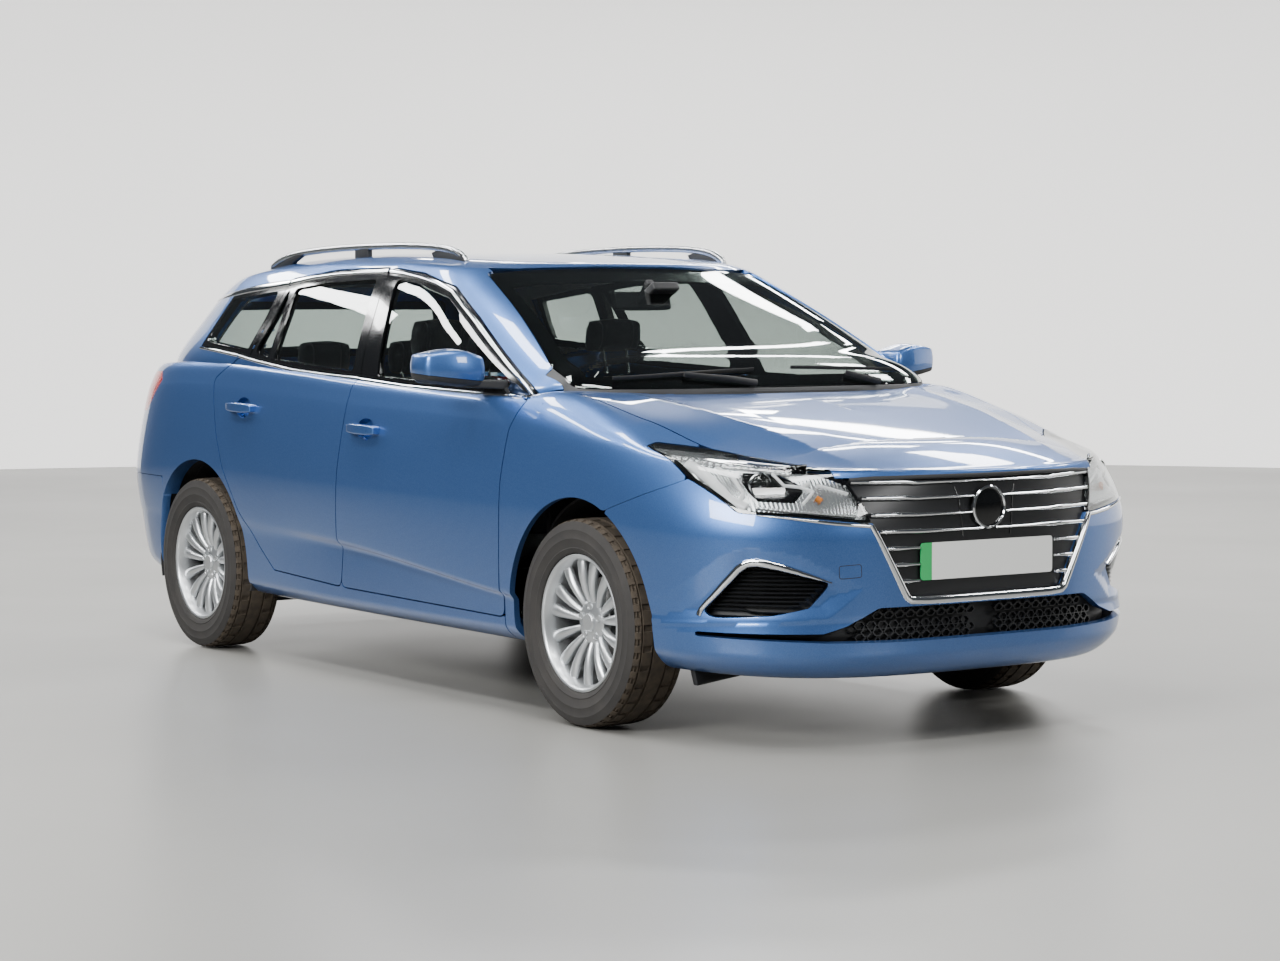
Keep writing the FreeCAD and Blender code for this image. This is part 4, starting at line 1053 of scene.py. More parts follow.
# ---------------------------------------------------------------- tyres
# Black carbon-filled rubber, moulded with four long grooves, blocks on the shoulders and fine
# raised rings on the walls. The tread is dusty brown from use.
sidewall_rubber = textured("tyre_sidewall_rubber", "#1f1e1e", 0.78, "Noise", {"Scale": 18.0, "Detail": 6.0},
                           tint=("#1b1a1a", "#312e2b"), relief=(0.2, 0.0006))
tread_rubber = textured("tyre_tread_rubber", "#3a332c", 0.9, "Noise", {"Scale": 34.0, "Detail": 8.0},
                        tint=("#28241f", "#554a3c"))

TRACK_HALF, HUB_Z = 0.778, 0.326
# Outline of the tyre's section: radius, then distance outwards from the middle of the tread
TYRE_HALF = [(0.2035, 0.084), (0.2165, 0.0845), (0.2205, 0.0915), (0.232, 0.0975), (0.2345, 0.0985),
             (0.237, 0.0975), (0.262, 0.1020), (0.2645, 0.1030), (0.267, 0.1023), (0.290, 0.1012),
             (0.2925, 0.1018), (0.295, 0.1005), (0.3085, 0.0975), (0.3175, 0.0930), (0.3220, 0.0855),
             (0.3245, 0.0740), (0.3175, 0.0735), (0.3175, 0.0665), (0.3253, 0.0660), (0.3260, 0.0330),
             (0.3180, 0.0325), (0.3180, 0.0245), (0.3260, 0.0240)]


def spun(name, section, x, steps=96):
    """Ring of a closed section of (radius, y), turned round an axle by spinning a drawn outline."""
    bpy.ops.object.select_all(action="DESELECT")
    bpy.ops.mesh.primitive_circle_add(vertices=len(section), location=(x, 0, HUB_Z))
    piece = bpy.context.object
    piece.data.transform(piece.matrix_world)
    piece.matrix_world = Matrix.Identity(4)
    for vertex, (radius, y) in zip(piece.data.vertices, section):
        vertex.co = (x, y, HUB_Z + radius)
    edit_all()
    bpy.ops.mesh.spin(steps=steps, angle=2 * math.pi, center=(x, 0, HUB_Z), axis=(0, 1, 0))
    bpy.ops.mesh.select_all(action="SELECT")
    bpy.ops.mesh.remove_doubles(threshold=1e-5)
    close_edit()
    piece.name = name
    return piece


def choose_faces(piece, test):
    """Selects the faces whose centre passes a test, in edit mode."""
    choose(piece)
    bpy.ops.object.mode_set(mode="EDIT")
    bpy.ops.mesh.select_mode(type="FACE")
    bpy.ops.mesh.select_all(action="DESELECT")
    bpy.ops.object.mode_set(mode="OBJECT")
    for face in piece.data.polygons:
        face.select = test(face.center, face)
    bpy.ops.object.mode_set(mode="EDIT")


section = [(r, TRACK_HALF + y) for r, y in TYRE_HALF]
section += [(r, TRACK_HALF - y) for r, y in reversed(TYRE_HALF)]
SHOULDER_BLOCKS = 96
tyre = spun("tyre", section, FRONT_AXLE_X, SHOULDER_BLOCKS)


def on_tyre(centre):
    """Radius, distance from the middle of the tread, and which block it is in, counted round the tyre."""
    turn = math.atan2(centre.z - HUB_Z, centre.x - FRONT_AXLE_X) / (2 * math.pi) * SHOULDER_BLOCKS
    return (math.hypot(centre.x - FRONT_AXLE_X, centre.z - HUB_Z), abs(centre.y - TRACK_HALF), int(turn // 1))


def on_shoulder(centre, face):
    radius, off, turn = on_tyre(centre)
    return 0.3165 < radius < 0.3245 and off > 0.076 and turn % 2 == 0


def on_rib(centre, face):
    radius, off, turn = on_tyre(centre)
    return radius > 0.3222 and 0.03 < off < 0.068 and turn % 3 == 0


for test in (on_shoulder, on_rib):
    choose_faces(tyre, test)
    bpy.ops.mesh.inset(thickness=0.0016, depth=-0.0045, use_individual=True)
    bpy.ops.object.mode_set(mode="OBJECT")
bpy.ops.object.shade_smooth_by_angle(angle=math.radians(28))
TREAD_FROM = 0.3135
# Columns: body, its place from the front axle, whether it is mirrored
WHEELS = [(axle + "_wheel_" + side, (back, 0, 0), sign < 0)
          for axle, back in (("front", 0), ("rear", REAR_AXLE_X - FRONT_AXLE_X)) for side, sign in SIDES]
for body, move, mirrored in WHEELS:
    piece = copied(tyre, body.replace("wheel", "tyre") + "_cover", move, mirrored)
    finish_piece(piece, sidewall_rubber, body, "tyre_rubber", body.replace("wheel", "tyre"))
    piece.data.materials.append(tread_rubber)
    for face in piece.data.polygons:
        x = FRONT_AXLE_X + move[0]
        face.material_index = int(math.hypot(face.center.x - x, face.center.z - HUB_Z) > TREAD_FROM)
bpy.data.objects.remove(tyre)

# ---------------------------------------------------------------- wheels
# Cast aluminium, painted bright silver under lacquer: fifteen slim spokes in five groups run from
# a five-bolt hub to the rim. The round cap clips into the hub and is plain.
wheel_silver = textured("silver_painted_cast_aluminium", "#c9ccce", 0.30, "Noise",
                        {"Scale": 220.0, "Detail": 3.0}, tone=(0.26, 0.40), Metallic=0.85, Coat_Weight=0.7,
                        Coat_Roughness=0.06)
disc_iron = textured("turned_cast_iron", "#77787a", 0.38, "Noise", {"Scale": 60.0, "Detail": 5.0},
                     tint=("#8a8b8c", "#5d5650"), Metallic=1.0, Anisotropic=0.5)

RIM_OUTLINE = [(0.2155, 0.0885), (0.2125, 0.0900), (0.2075, 0.0885), (0.2035, 0.0840), (0.2005, 0.0780),
               (0.1935, 0.0600), (0.1915, 0.0200), (0.1900, -0.0500), (0.1955, -0.0860), (0.2155, -0.0885),
               (0.2165, -0.0850), (0.2020, -0.0830), (0.1990, -0.0500), (0.1985, 0.0300), (0.2010, 0.0620),
               (0.2030, 0.0830), (0.2160, 0.0855)]
rim = spun("rim", [(r, TRACK_HALF + y) for r, y in RIM_OUTLINE], FRONT_AXLE_X, 72)
HUB_OUTLINE = [(0.0001, 0.0560), (0.0260, 0.0560), (0.0285, 0.0535), (0.0300, 0.0470), (0.0330, 0.0460),
               (0.0600, 0.0450), (0.0680, 0.0400), (0.0700, 0.0300), (0.0650, 0.0100), (0.0001, 0.0100)]
hub = spun("hub", [(r, TRACK_HALF + y) for r, y in HUB_OUTLINE], FRONT_AXLE_X, 60)
wheel_parts = [rim, hub]
BOLT_CIRCLE = 0.050
spoke = cut_cube(1.0, 3)
for vertex in spoke.data.vertices:
    along, across, out = vertex.co.z + 0.5, vertex.co.x, vertex.co.y + 0.5
    radius = 0.050 + 0.150 * along
    half = (0.0095 + 0.0130 * along) * 2
    crown = 1 - 0.9 * abs(across) * out
    depth = 0.018 + 0.012 * (1 - along)
    face_y = 0.041 + 0.036 * along - 0.012 * along ** 2 + 0.010 * math.sin(math.pi * along)
    vertex.co = (FRONT_AXLE_X + across * half * (0.75 + 0.25 * crown), TRACK_HALF + face_y + (out - 1) * depth
                 - 0.009 * (2 * across) ** 2 * out, HUB_Z + radius)
smoothed(spoke)
for group in range(5):
    for step in (-10.5, 10.5, 36.0):
        arm = copied(spoke, "arm")
        arm.data.transform(Matrix.Translation((FRONT_AXLE_X, 0, HUB_Z))
                           @ Matrix.Rotation(math.radians(72 * group + step), 4, "Y")
                           @ Matrix.Translation((-FRONT_AXLE_X, 0, -HUB_Z)))
        wheel_parts.append(arm)
    angle = math.radians(72 * group)
    bpy.ops.mesh.primitive_cylinder_add(vertices=24, radius=0.0115, depth=0.006)
    nut = bpy.context.object
    choose_faces(nut, lambda centre, face: abs(face.normal.z) > 0.9)
    bpy.ops.mesh.inset(thickness=0.003)
    bpy.ops.mesh.inset(thickness=0.0012, depth=-0.002)
    bpy.ops.object.mode_set(mode="OBJECT")
    nut.data.transform(Matrix.Translation((FRONT_AXLE_X + BOLT_CIRCLE * math.sin(angle), TRACK_HALF + 0.0465,
                                           HUB_Z + BOLT_CIRCLE * math.cos(angle)))
                       @ Matrix.Rotation(math.pi / 2, 4, "X"))
    wheel_parts.append(nut)
bpy.data.objects.remove(spoke)
wheel = joined(wheel_parts, "wheel")
bpy.ops.object.shade_smooth_by_angle(angle=math.radians(35))
disc = spun("disc", [(0.060, 0.018 + TRACK_HALF - 0.03), (0.140, 0.018 + TRACK_HALF - 0.03),
                     (0.140, TRACK_HALF - 0.034), (0.060, TRACK_HALF - 0.034)], FRONT_AXLE_X, 60)
bpy.ops.object.shade_smooth_by_angle(angle=math.radians(30))
for body, move, mirrored in WHEELS:
    finish_piece(copied(wheel, body + "_alloy", move, mirrored), wheel_silver, body, "wheel_alloy", body)
    finish_piece(copied(disc, body + "_disc", move, mirrored), disc_iron, body, "cast_parts")
bpy.data.objects.remove(wheel)
bpy.data.objects.remove(disc)

# ---------------------------------------------------------------- door handles
# Painted pull handles of moulded nylon, one on each door, bridging a round cup pressed in the skin.
for door, x, z in HANDLES:
    uv = locate(lower, SIDE_VIEW, [(x - 0.06, z), (x, z), (x + 0.06, z)], v_range=(4.0, 7.0))
    rest = lower(uv)
    grip = cut_cube(1.0, 5)
    for vertex in grip.data.vertices:
        a, b, c = vertex.co * 2
        y = float(np.interp(x + a * 0.1, rest[::-1, 0], rest[::-1, 1]))
        stand = 0.026 + 0.010 * (1 - a * a)
        gap = 0.014 * max(0.0, 1 - (a / 0.72) ** 4) if b < 0 else 0.0
        high = 0.0190 * (1 - 0.28 * abs(a) ** 2.5) * (1 - 0.12 * (b + 1) / 2)
        out = y + stand * (b + 1) / 2 + (gap if b < 0 else 0) - (0.006 if b < 0 and gap == 0 else 0)
        vertex.co = (x + a * 0.098, out, z + c * high + a * -0.002)
    smoothed(grip)
    for side, sign in SIDES:
        finish_piece(copied(grip, door + "_handle_" + side, mirrored=sign < 0), paint, door + "_" + side,
                     "blue_paint", angle=60)
    bpy.data.objects.remove(grip)

# ---------------------------------------------------------------- door mirrors
# Two-part shells on a black foot: a painted cap above, grained black below, and a flat silvered
# glass that looks back. They stand on the front corner of each front door.
shell = cut_cube(2.0, 7)
for vertex in shell.data.vertices:
    a, b, c = vertex.co      # forwards, outwards, up
    ball = Vector((a, b, c)).normalized() * max(abs(a), abs(b), abs(c))
    a, b, c = (0.62 * u + 0.38 * w for u, w in zip((a, b, c), ball))
    out = (b + 0.9) / 1.8
    length = 0.090 * (1 - 0.22 * out ** 2) if a > 0 else 0.066 * (1 - 0.1 * out)
    top = 0.072 * (1 - 0.55 * max(0.0, out - 0.30) ** 1.6) * (0.72 + 0.28 * min(1.0, out * 2.5))
    x = 0.704 + a * length - 0.020 * out ** 2
    y = 0.962 + b * 0.112
    z = 1.100 + (c * top if c > 0 else c * 0.060 * (1 - 0.25 * out)) + 0.012 * out
    vertex.co = (x, y, z)
smoothed(shell)


def half_of(piece, name, point, normal, clear_outer):
    """The part of a copy on one side of a plane, closed again along the cut."""
    part = copied(piece, name)
    choose(part)
    edit_all()
    bpy.ops.mesh.bisect(plane_co=point, plane_no=normal, use_fill=True, clear_outer=clear_outer,
                        clear_inner=not clear_outer)
    bpy.ops.object.mode_set(mode="OBJECT")
    return part


SPLIT_WAY = (0.06, -0.10, 1.0)
cap = half_of(shell, "cap", (0.70, 0.96, 1.082), SPLIT_WAY, clear_outer=False)
tray = half_of(shell, "tray", (0.70, 0.96, 1.0805), SPLIT_WAY, clear_outer=True)
bpy.data.objects.remove(shell)
foot = cut_cube(1.0, 3)
for vertex in foot.data.vertices:
    a, b, c = vertex.co + Vector((0.5, 0.5, 0.5))
    vertex.co = (0.675 + 0.120 * a * (1 - 0.25 * b) + 0.02 * (1 - b), 0.795 + 0.125 * b,
                 1.040 + 0.030 * c * (1 - 0.2 * b) + 0.008 * b)
apply_modifier(foot, "BEVEL", width=0.004, segments=2)
mirror_silver = textured("silvered_mirror_glass", "#dfe3e4", 0.01, "Noise", {"Scale": 25.0}, tone=(0.005, 0.03),
                         Metallic=1.0)
bpy.ops.object.select_all(action="DESELECT")
bpy.ops.mesh.primitive_circle_add(vertices=40, radius=1.0, fill_type="NGON")
pane = bpy.context.object
edit_all()
bpy.ops.mesh.extrude_region_move(TRANSFORM_OT_translate={"value": (0, 0, 0.05)})
close_edit()
for vertex in pane.data.vertices:
    a, b, c = vertex.co
    swell = (abs(a) ** 3.2 + abs(b) ** 3.2) ** (1 / 3.2)
    reach = math.hypot(a, b) / max(swell, 1e-6)
    vertex.co = (0.6345 - c * 0.06 - 0.012 * a * reach, 0.962 + a * reach * 0.086, 1.106 + b * reach * 0.050)
tidy_normals(pane)
for side, sign in SIDES:
    body = "front_door_" + side
    finish_piece(copied(cap, "mirror_cap_" + side, mirrored=sign < 0), paint, body, "blue_paint",
                 "door_mirror_" + side, angle=50)
    for part, name, material, slot in ((tray, "mirror_tray_", black_plastic, "grille_black"),
                                       (foot, "mirror_foot_", black_plastic, "grille_black"),
                                       (pane, "mirror_pane_", mirror_silver, "rail_silver")):
        finish_piece(copied(part, name + side, mirrored=sign < 0), material, body, slot, angle=50)
for piece in (cap, tray, foot, pane):
    bpy.data.objects.remove(piece)

# ---------------------------------------------------------------- roof rails
# Extruded aluminium bars, satin anodised, that rise from the roof at both ends; black moulded
# fillers close the openings at their feet.
rail_alloy, tree, shader = new_material("satin_anodised_aluminium", "#c3c5c7", 0.27, Metallic=1.0)
place = add_node(tree, "ShaderNodeTexCoord")
stretch = add_node(tree, "ShaderNodeMapping", {"Scale": (6.0, 900.0, 900.0)},
                   {"Vector": place.outputs["Object"]})
brush = add_node(tree, "ShaderNodeTexNoise", {"Scale": 1.0, "Detail": 2.0},
                 {"Vector": stretch.outputs["Vector"]})
tone = add_node(tree, "ShaderNodeMapRange", {"To Min": 0.2, "To Max": 0.36}, {"Value": brush.outputs["Fac"]})
tree.links.new(tone.outputs["Result"], shader.inputs["Roughness"])

# Columns: x, y, z of the bar's middle line, half height, half width
RAIL_STATIONS = ((0.160, 0.552, 1.462, 0.012, 0.012), (0.120, 0.553, 1.490, 0.013, 0.013),
                 (0.060, 0.554, 1.509, 0.013, 0.013), (-0.05, 0.557, 1.521, 0.013, 0.013),
                 (-0.25, 0.563, 1.529, 0.0125, 0.013), (-0.55, 0.571, 1.530, 0.0125, 0.013),
                 (-0.85, 0.579, 1.524, 0.0125, 0.013), (-1.05, 0.585, 1.511, 0.013, 0.013),
                 (-1.16, 0.588, 1.493, 0.012, 0.013), (-1.255, 0.591, 1.458, 0.010, 0.011))
bpy.ops.object.select_all(action="DESELECT")
bpy.ops.mesh.primitive_circle_add(vertices=12, radius=1.0, fill_type="NGON")
rail = bpy.context.object
rounds = [(math.cos(2 * math.pi * k / 12), math.sin(2 * math.pi * k / 12)) for k in range(12)]
for index, station in enumerate(RAIL_STATIONS):
    if index:
        bpy.ops.object.mode_set(mode="EDIT")
        bpy.ops.mesh.extrude_region_move()
        bpy.ops.object.mode_set(mode="OBJECT")
    x, y, z, high, wide = station
    before = RAIL_STATIONS[max(index - 1, 0)]
    after = RAIL_STATIONS[min(index + 1, len(RAIL_STATIONS) - 1)]
    slope = Vector((before[0] - after[0], 0, before[2] - after[2])).normalized()
    ring = [v for v in rail.data.vertices if v.select]
    for vertex, (a, b) in zip(ring, rounds):
        push = 1 + 0.18 * abs(a * b) * 2
        vertex.co = (x - slope.z * b * high * push, y + a * wide * push, z + slope.x * b * high * push)
edit_all()
close_edit()
smoothed(rail)
finish_piece(with_twin(rail, "roof_rail_bars"), rail_alloy, "body", "rail_silver", "roof_rails", angle=60)
fillers = []
for ends in (((0.175, 1.440), (0.135, 1.492), (0.070, 1.512), (-0.02, 1.512), (-0.075, 1.500), (-0.02, 1.440)),
             ((-1.275, 1.435), (-1.225, 1.470), (-1.150, 1.492), (-1.060, 1.506), (-0.965, 1.510),
              (-1.05, 1.480), (-1.12, 1.435)),
             ((-0.50, 1.46), (-0.50, 1.525), (-0.60, 1.525), (-0.60, 1.46))):
    bpy.ops.object.select_all(action="DESELECT")
    bpy.ops.mesh.primitive_circle_add(vertices=len(ends), fill_type="NGON")
    filler = bpy.context.object
    middle = sum(x for x, _ in ends) / len(ends)
    y = float(np.interp(middle, [-1.25, 0.16], [0.591, 0.552]))
    for vertex, (x, z) in zip(filler.data.vertices, ends):
        vertex.co = (x, y - 0.010, z)
    edit_all()
    bpy.ops.mesh.extrude_region_move(TRANSFORM_OT_translate={"value": (0, 0.020, 0)})
    bpy.ops.mesh.select_all(action="SELECT")
    bpy.ops.mesh.normals_make_consistent(inside=False)
    bpy.ops.mesh.bevel(offset=0.003, segments=2)
    bpy.ops.object.mode_set(mode="OBJECT")
    fillers += [filler, copied(filler, "twin", mirrored=True)]
finish_piece(joined(fillers, "roof_rail_fillers"), black_plastic, "body", "grille_black", angle=40)

# ---------------------------------------------------------------- headlamps
# A clear polycarbonate cover over a metallised bowl: a black cell holds the round projector, white
# light guides cross beside it, and a ribbed bright panel runs to the grille.
clear_cover = textured("clear_polycarbonate", "#f4f6f6", 0.0, "Noise", {"Scale": 12.0}, tone=(0.0, 0.03),
                       IOR=1.45, Transmission_Weight=1.0)
bowl_metal = textured("metallised_reflector", "#e9ebec", 0.22, "Wave",
                      {"Scale": 32.0, "Distortion": 0.0, "bands_direction": "Y"}, relief=(0.5, 0.002),
                      Metallic=0.85)
guide_white = textured("white_light_guide", "#fbfcfd", 0.12, "Voronoi", {"Scale": 260.0}, relief=(0.2, 0.0008),
                       Emission_Strength=0.35, Emission_Color=linear("#ffffff"), Coat_Weight=1.0)
amber = textured("amber_lamp_plastic", "#d9802a", 0.15, "Voronoi", {"Scale": 200.0}, relief=(0.3, 0.001),
                 Coat_Weight=1.0)

LAMP_U, LAMP_V = (0.1, 0.98), (4.6, 8.2)
finish_piece(panel("lamp_covers", [(lower, LAMP_U, LAMP_V, 0.012, lamp_zone(-0.001))], 0.003, (1, -1), 0.0005),
             clear_cover, "body", "lamp_clear", "headlamps")
finish_piece(panel("lamp_rims", [(lower, LAMP_U, LAMP_V, 0.008, both(lamp_zone(-0.0015), but_not(
    lamp_zone(-0.010))))], 0.030, (1, -1), 0.0045), gloss_black, "body", "grille_black")
BOWL = drawn([(430, 674), (482, 788), (520, 806), (565, 826), (625, 858), (690, 882), (818, 904), (808, 800),
              (752, 708), (600, 694)])
CELL = [(0.727, 0.800), (0.712, 0.828), (0.640, 0.824), (0.606, 0.797), (0.596, 0.775), (0.630, 0.738),
        (0.712, 0.742), (0.722, 0.765)]
cell_zone = inside(FRONT_VIEW, rounded(CELL, 0.006))
finish_piece(panel("lamp_bowls", [(lower, LAMP_U, LAMP_V, 0.012, both(
    inside(FRONT_VIEW, BOWL), lamp_zone(-0.002), but_not(cell_zone)))], 0.003, (1, -1), 0.016),
    bowl_metal, "body", "lamp_clear")
finish_piece(panel("lamp_cells", [(lower, LAMP_U, LAMP_V, 0.01, both(
    cell_zone, lamp_zone(-0.010)))], 0.016, (1, -1), 0.024), gloss_black, "body", "grille_black")
# Columns: path in front view, width, height, depth under the cover, material
GUIDES = (
    ([(0.752, 0.838), (0.738, 0.812), (0.734, 0.765), (0.748, 0.738)], 0.011, 0.005, 0.011, guide_white),
    ([(0.652, 0.822), (0.640, 0.788), (0.602, 0.783), (0.574, 0.797)], 0.008, 0.005, 0.010, guide_white),
    ([(0.602, 0.783), (0.574, 0.770), (0.612, 0.733)], 0.009, 0.005, 0.010, guide_white),
    ([(0.794, 0.868), (0.740, 0.856), (0.670, 0.838), (0.610, 0.820)], 0.016, 0.006, 0.011, bowl_metal),
    ([(0.795, 0.850), (0.780, 0.800), (0.765, 0.745), (0.740, 0.722)], 0.030, 0.007, 0.012, guide_white),
    ([(0.560, 0.790), (0.525, 0.778), (0.482, 0.762)], 0.007, 0.004, 0.010, guide_white),
    ([(0.720, 0.722), (0.640, 0.712), (0.540, 0.702), (0.470, 0.694)], 0.010, 0.005, 0.011, bowl_metal),
    ([(0.572, 0.752), (0.560, 0.742)], 0.018, 0.005, 0.011, amber),
)
for index, (path, width, height, depth, material) in enumerate(GUIDES):
    nose_strip("lamp_guide_%d" % index, path, half_round(width, height, 0.004), material, "lamp_clear",
               sink=depth, pitch=0.01)
lens_spot = lower(locate(lower, FRONT_VIEW, [(0.685, 0.783)], **NOSE))[0]
lens_axis = Vector((1.0, 0.30, 0.0)).normalized()
lens_place = Matrix.Translation(Vector(lens_spot) - lens_axis * 0.030) @ \
    lens_axis.to_track_quat("Z", "Y").to_matrix().to_4x4()
bpy.ops.object.select_all(action="DESELECT")
bpy.ops.mesh.primitive_uv_sphere_add(segments=40, ring_count=20, radius=0.030)
lens = bpy.context.object
edit_all()
bpy.ops.mesh.bisect(plane_co=(0, 0, 0.004), plane_no=(0, 0, 1), use_fill=True, clear_inner=True)
bpy.ops.object.mode_set(mode="OBJECT")
lens.data.transform(lens_place @ Matrix.Diagonal((1, 1, 0.55, 1)))
bpy.ops.mesh.primitive_torus_add(major_radius=0.033, minor_radius=0.0035, major_segments=48, minor_segments=10)
bezel = bpy.context.object
edit_all()
bpy.ops.transform.resize(value=(1, 1, 1.8))
bpy.ops.object.mode_set(mode="OBJECT")
bezel.data.transform(lens_place)
finish_piece(with_twin(lens, "lamp_projectors"), clear_cover, "body", "lamp_clear", angle=50)
finish_piece(with_twin(bezel, "lamp_bezels"), chrome, "body", "lamp_clear", angle=50)

# ---------------------------------------------------------------- badge place and number plates
# The round badge place in the grille carries only a chromed ring. The plates are laminated acrylic,
# white before and yellow behind, with a green band at one end and nothing printed on them.
badge_x = float(lower(locate(lower, FRONT_VIEW, [(0.0, BADGE_Z)], **NOSE))[0, 0])
for name, section, material in (
        ("badge_ring", [(0.0655, -0.006), (0.0655, 0.001), (0.0625, 0.0045), (0.0585, 0.0045), (0.0560, 0.001),
                        (0.0560, -0.006)], chrome),
        ("badge_disc", [(0.0001, -0.008), (0.0600, -0.008), (0.0600, -0.003), (0.0350, 0.000), (0.0001, 0.001)],
         gloss_black)):
    bpy.ops.object.select_all(action="DESELECT")
    bpy.ops.mesh.primitive_circle_add(vertices=len(section))
    piece = bpy.context.object
    for vertex, (radius, out) in zip(piece.data.vertices, section):
        vertex.co = (badge_x + out, 0, BADGE_Z + radius)
    edit_all()
    bpy.ops.mesh.spin(steps=64, angle=2 * math.pi, center=(badge_x, 0, BADGE_Z), axis=(1, 0, 0))
    bpy.ops.mesh.select_all(action="SELECT")
    bpy.ops.mesh.remove_doubles(threshold=2e-4)
    close_edit()
    piece.name = name
    finish_piece(piece, material, "body", "rail_silver", angle=40)

plate_white = textured("white_reflective_acrylic", "#e8e9e6", 0.18, "Voronoi", {"Scale": 500.0},
                       relief=(0.05, 0.0003), Coat_Weight=0.8)
plate_yellow = textured("yellow_reflective_acrylic", "#e3b31c", 0.18, "Voronoi", {"Scale": 500.0},
                        relief=(0.05, 0.0003), Coat_Weight=0.8)
plate_green = textured("green_plate_film", "#2fae62", 0.22, "Voronoi", {"Scale": 500.0}, relief=(0.05, 0.0003),
                       Coat_Weight=0.8)
# Columns: name, body, x of the back, direction it faces, z of the middle, material, sign of y of the band
PLATES = (("front_plate", "body", 2.2585, 1, 0.552, plate_white, -1),
          ("rear_plate", "tailgate", -2.2640, -1, 0.790, plate_yellow, 1))
for name, body, x, way, z, material, band in PLATES:
    bpy.ops.object.select_all(action="DESELECT")
    bpy.ops.mesh.primitive_cube_add(size=1.0)
    plate = bpy.context.object
    edit_all()
    bpy.ops.transform.resize(value=(0.0035, 0.520, 0.111))
    bpy.ops.mesh.select_all(action="DESELECT")
    bpy.ops.mesh.select_mode(type="EDGE")
    bpy.ops.object.mode_set(mode="OBJECT")
    for edge in plate.data.edges:
        a, b = (plate.data.vertices[i].co for i in edge.vertices)
        edge.select = abs(a.x - b.x) > 0.001
    bpy.ops.object.mode_set(mode="EDIT")
    bpy.ops.mesh.bevel(offset=0.010, segments=5)
    bpy.ops.mesh.select_all(action="SELECT")
    for offset in (0.218, 0.2185):
        bpy.ops.mesh.bisect(plane_co=(0, offset * band, 0), plane_no=(0, 1, 0))
        bpy.ops.mesh.select_all(action="SELECT")
    bpy.ops.object.mode_set(mode="OBJECT")
    plate.data.transform(Matrix.Translation((x + way * 0.00175, 0, z)))
    plate.name = name
    finish_piece(plate, material, body, "rail_silver", angle=30)
    plate.data.materials.append(plate_green)
    for face in plate.data.polygons:
        face.material_index = int(face.center.y * band > 0.218)

# ---------------------------------------------------------------- tail lamps
# Red acrylic wrap-round lenses, in two parts: one on the body corner and one on the tailgate.
# A clear band low in the inner part is the reversing lamp.
red_lens = textured("red_acrylic_lens", "#b00c16", 0.12, "Voronoi", {"Scale": 110.0}, relief=(0.35, 0.002),
                    Transmission_Weight=0.2, IOR=1.49, Coat_Weight=0.4)
lamp_part = both(tail_lamp_zone, but_not(tailgate_zone(SHUT_GAP)), within(0, -9, -1.6))
finish_piece(panel("tail_lamp_lenses", [(lower, (2.05, 2.98), (5.0, 8.0), 0.012, both(
    lamp_part, within(0, -9, -1.776)))], 0.030, (1, -1)), red_lens, "body", "lamp_red", "tail_lamps")
finish_piece(panel("tail_lamp_tips", [(lower, (2.05, 2.98), (5.0, 8.0), 0.01, both(
    lamp_part, within(0, -1.776, 9)))], 0.028, (1, -1)), red_lens, "body", "lamp_red")
GATE_LAMP = [(0.700, 0.905), (0.430, 0.918), (0.400, 0.985), (0.470, 1.030), (0.700, 1.040)]
finish_piece(panel("tailgate_lamp_lenses", [(lower, (2.3, 3.0), (5.0, 7.6), 0.012, both(
    inside(FRONT_VIEW, GATE_LAMP), tailgate_zone(-0.004)))], 0.010, (1, -1), -0.003),
    red_lens, "tailgate", "lamp_red")
piece = strip("reversing_lamps", lower, FRONT_VIEW, [(0.455, 0.932), (0.625, 0.926)],
              [(a, o + 0.001) for a, o in half_round(0.014, 0.005)], (1, -1), u_range=(2.02, 3.0),
              v_range=(2.0, 7.2))
finish_piece(tidy_normals(piece), guide_white, "tailgate", "lamp_clear", angle=50)

# ---------------------------------------------------------------- tail trim
# A black moulded valance under the rear bumper with red reflectors, a bright bar over the plate
# with the tailgate switch behind it, and a rear wiper on its parked spindle.
finish_piece(panel("rear_valance", [(lower, (2.1, 3.0), (1.0, 4.6), 0.02, both(
    within(0, -9, -2.0), within(1, -1, 0.66), within(2, 0.27, 0.395)))], 0.010, (1, -1), -0.003),
    black_plastic, "body", "bumper_paint")
TAIL = {"u_range": (2.02, 3.0), "v_range": (1.5, 7.2)}
for name, path, width, material, body, slot in (
        ("rear_reflectors", [(0.560, 0.462), (0.745, 0.470)], 0.026, red_lens, "body", "lamp_red"),
        ("tailgate_bar", [(0.0, 0.872), (0.300, 0.872), (0.420, 0.880)], 0.024, chrome, "tailgate",
         "rail_silver")):
    piece = strip(name, lower, FRONT_VIEW, path, half_round(width, 0.007), (1, -1), widths=(1, 1, 0.6), **TAIL)
    finish_piece(tidy_normals(piece), material, body, slot, angle=50)
rubber = textured("black_epdm_rubber", "#141415", 0.7, "Noise", {"Scale": 300.0, "Detail": 3.0},
                  relief=(0.2, 0.0004))

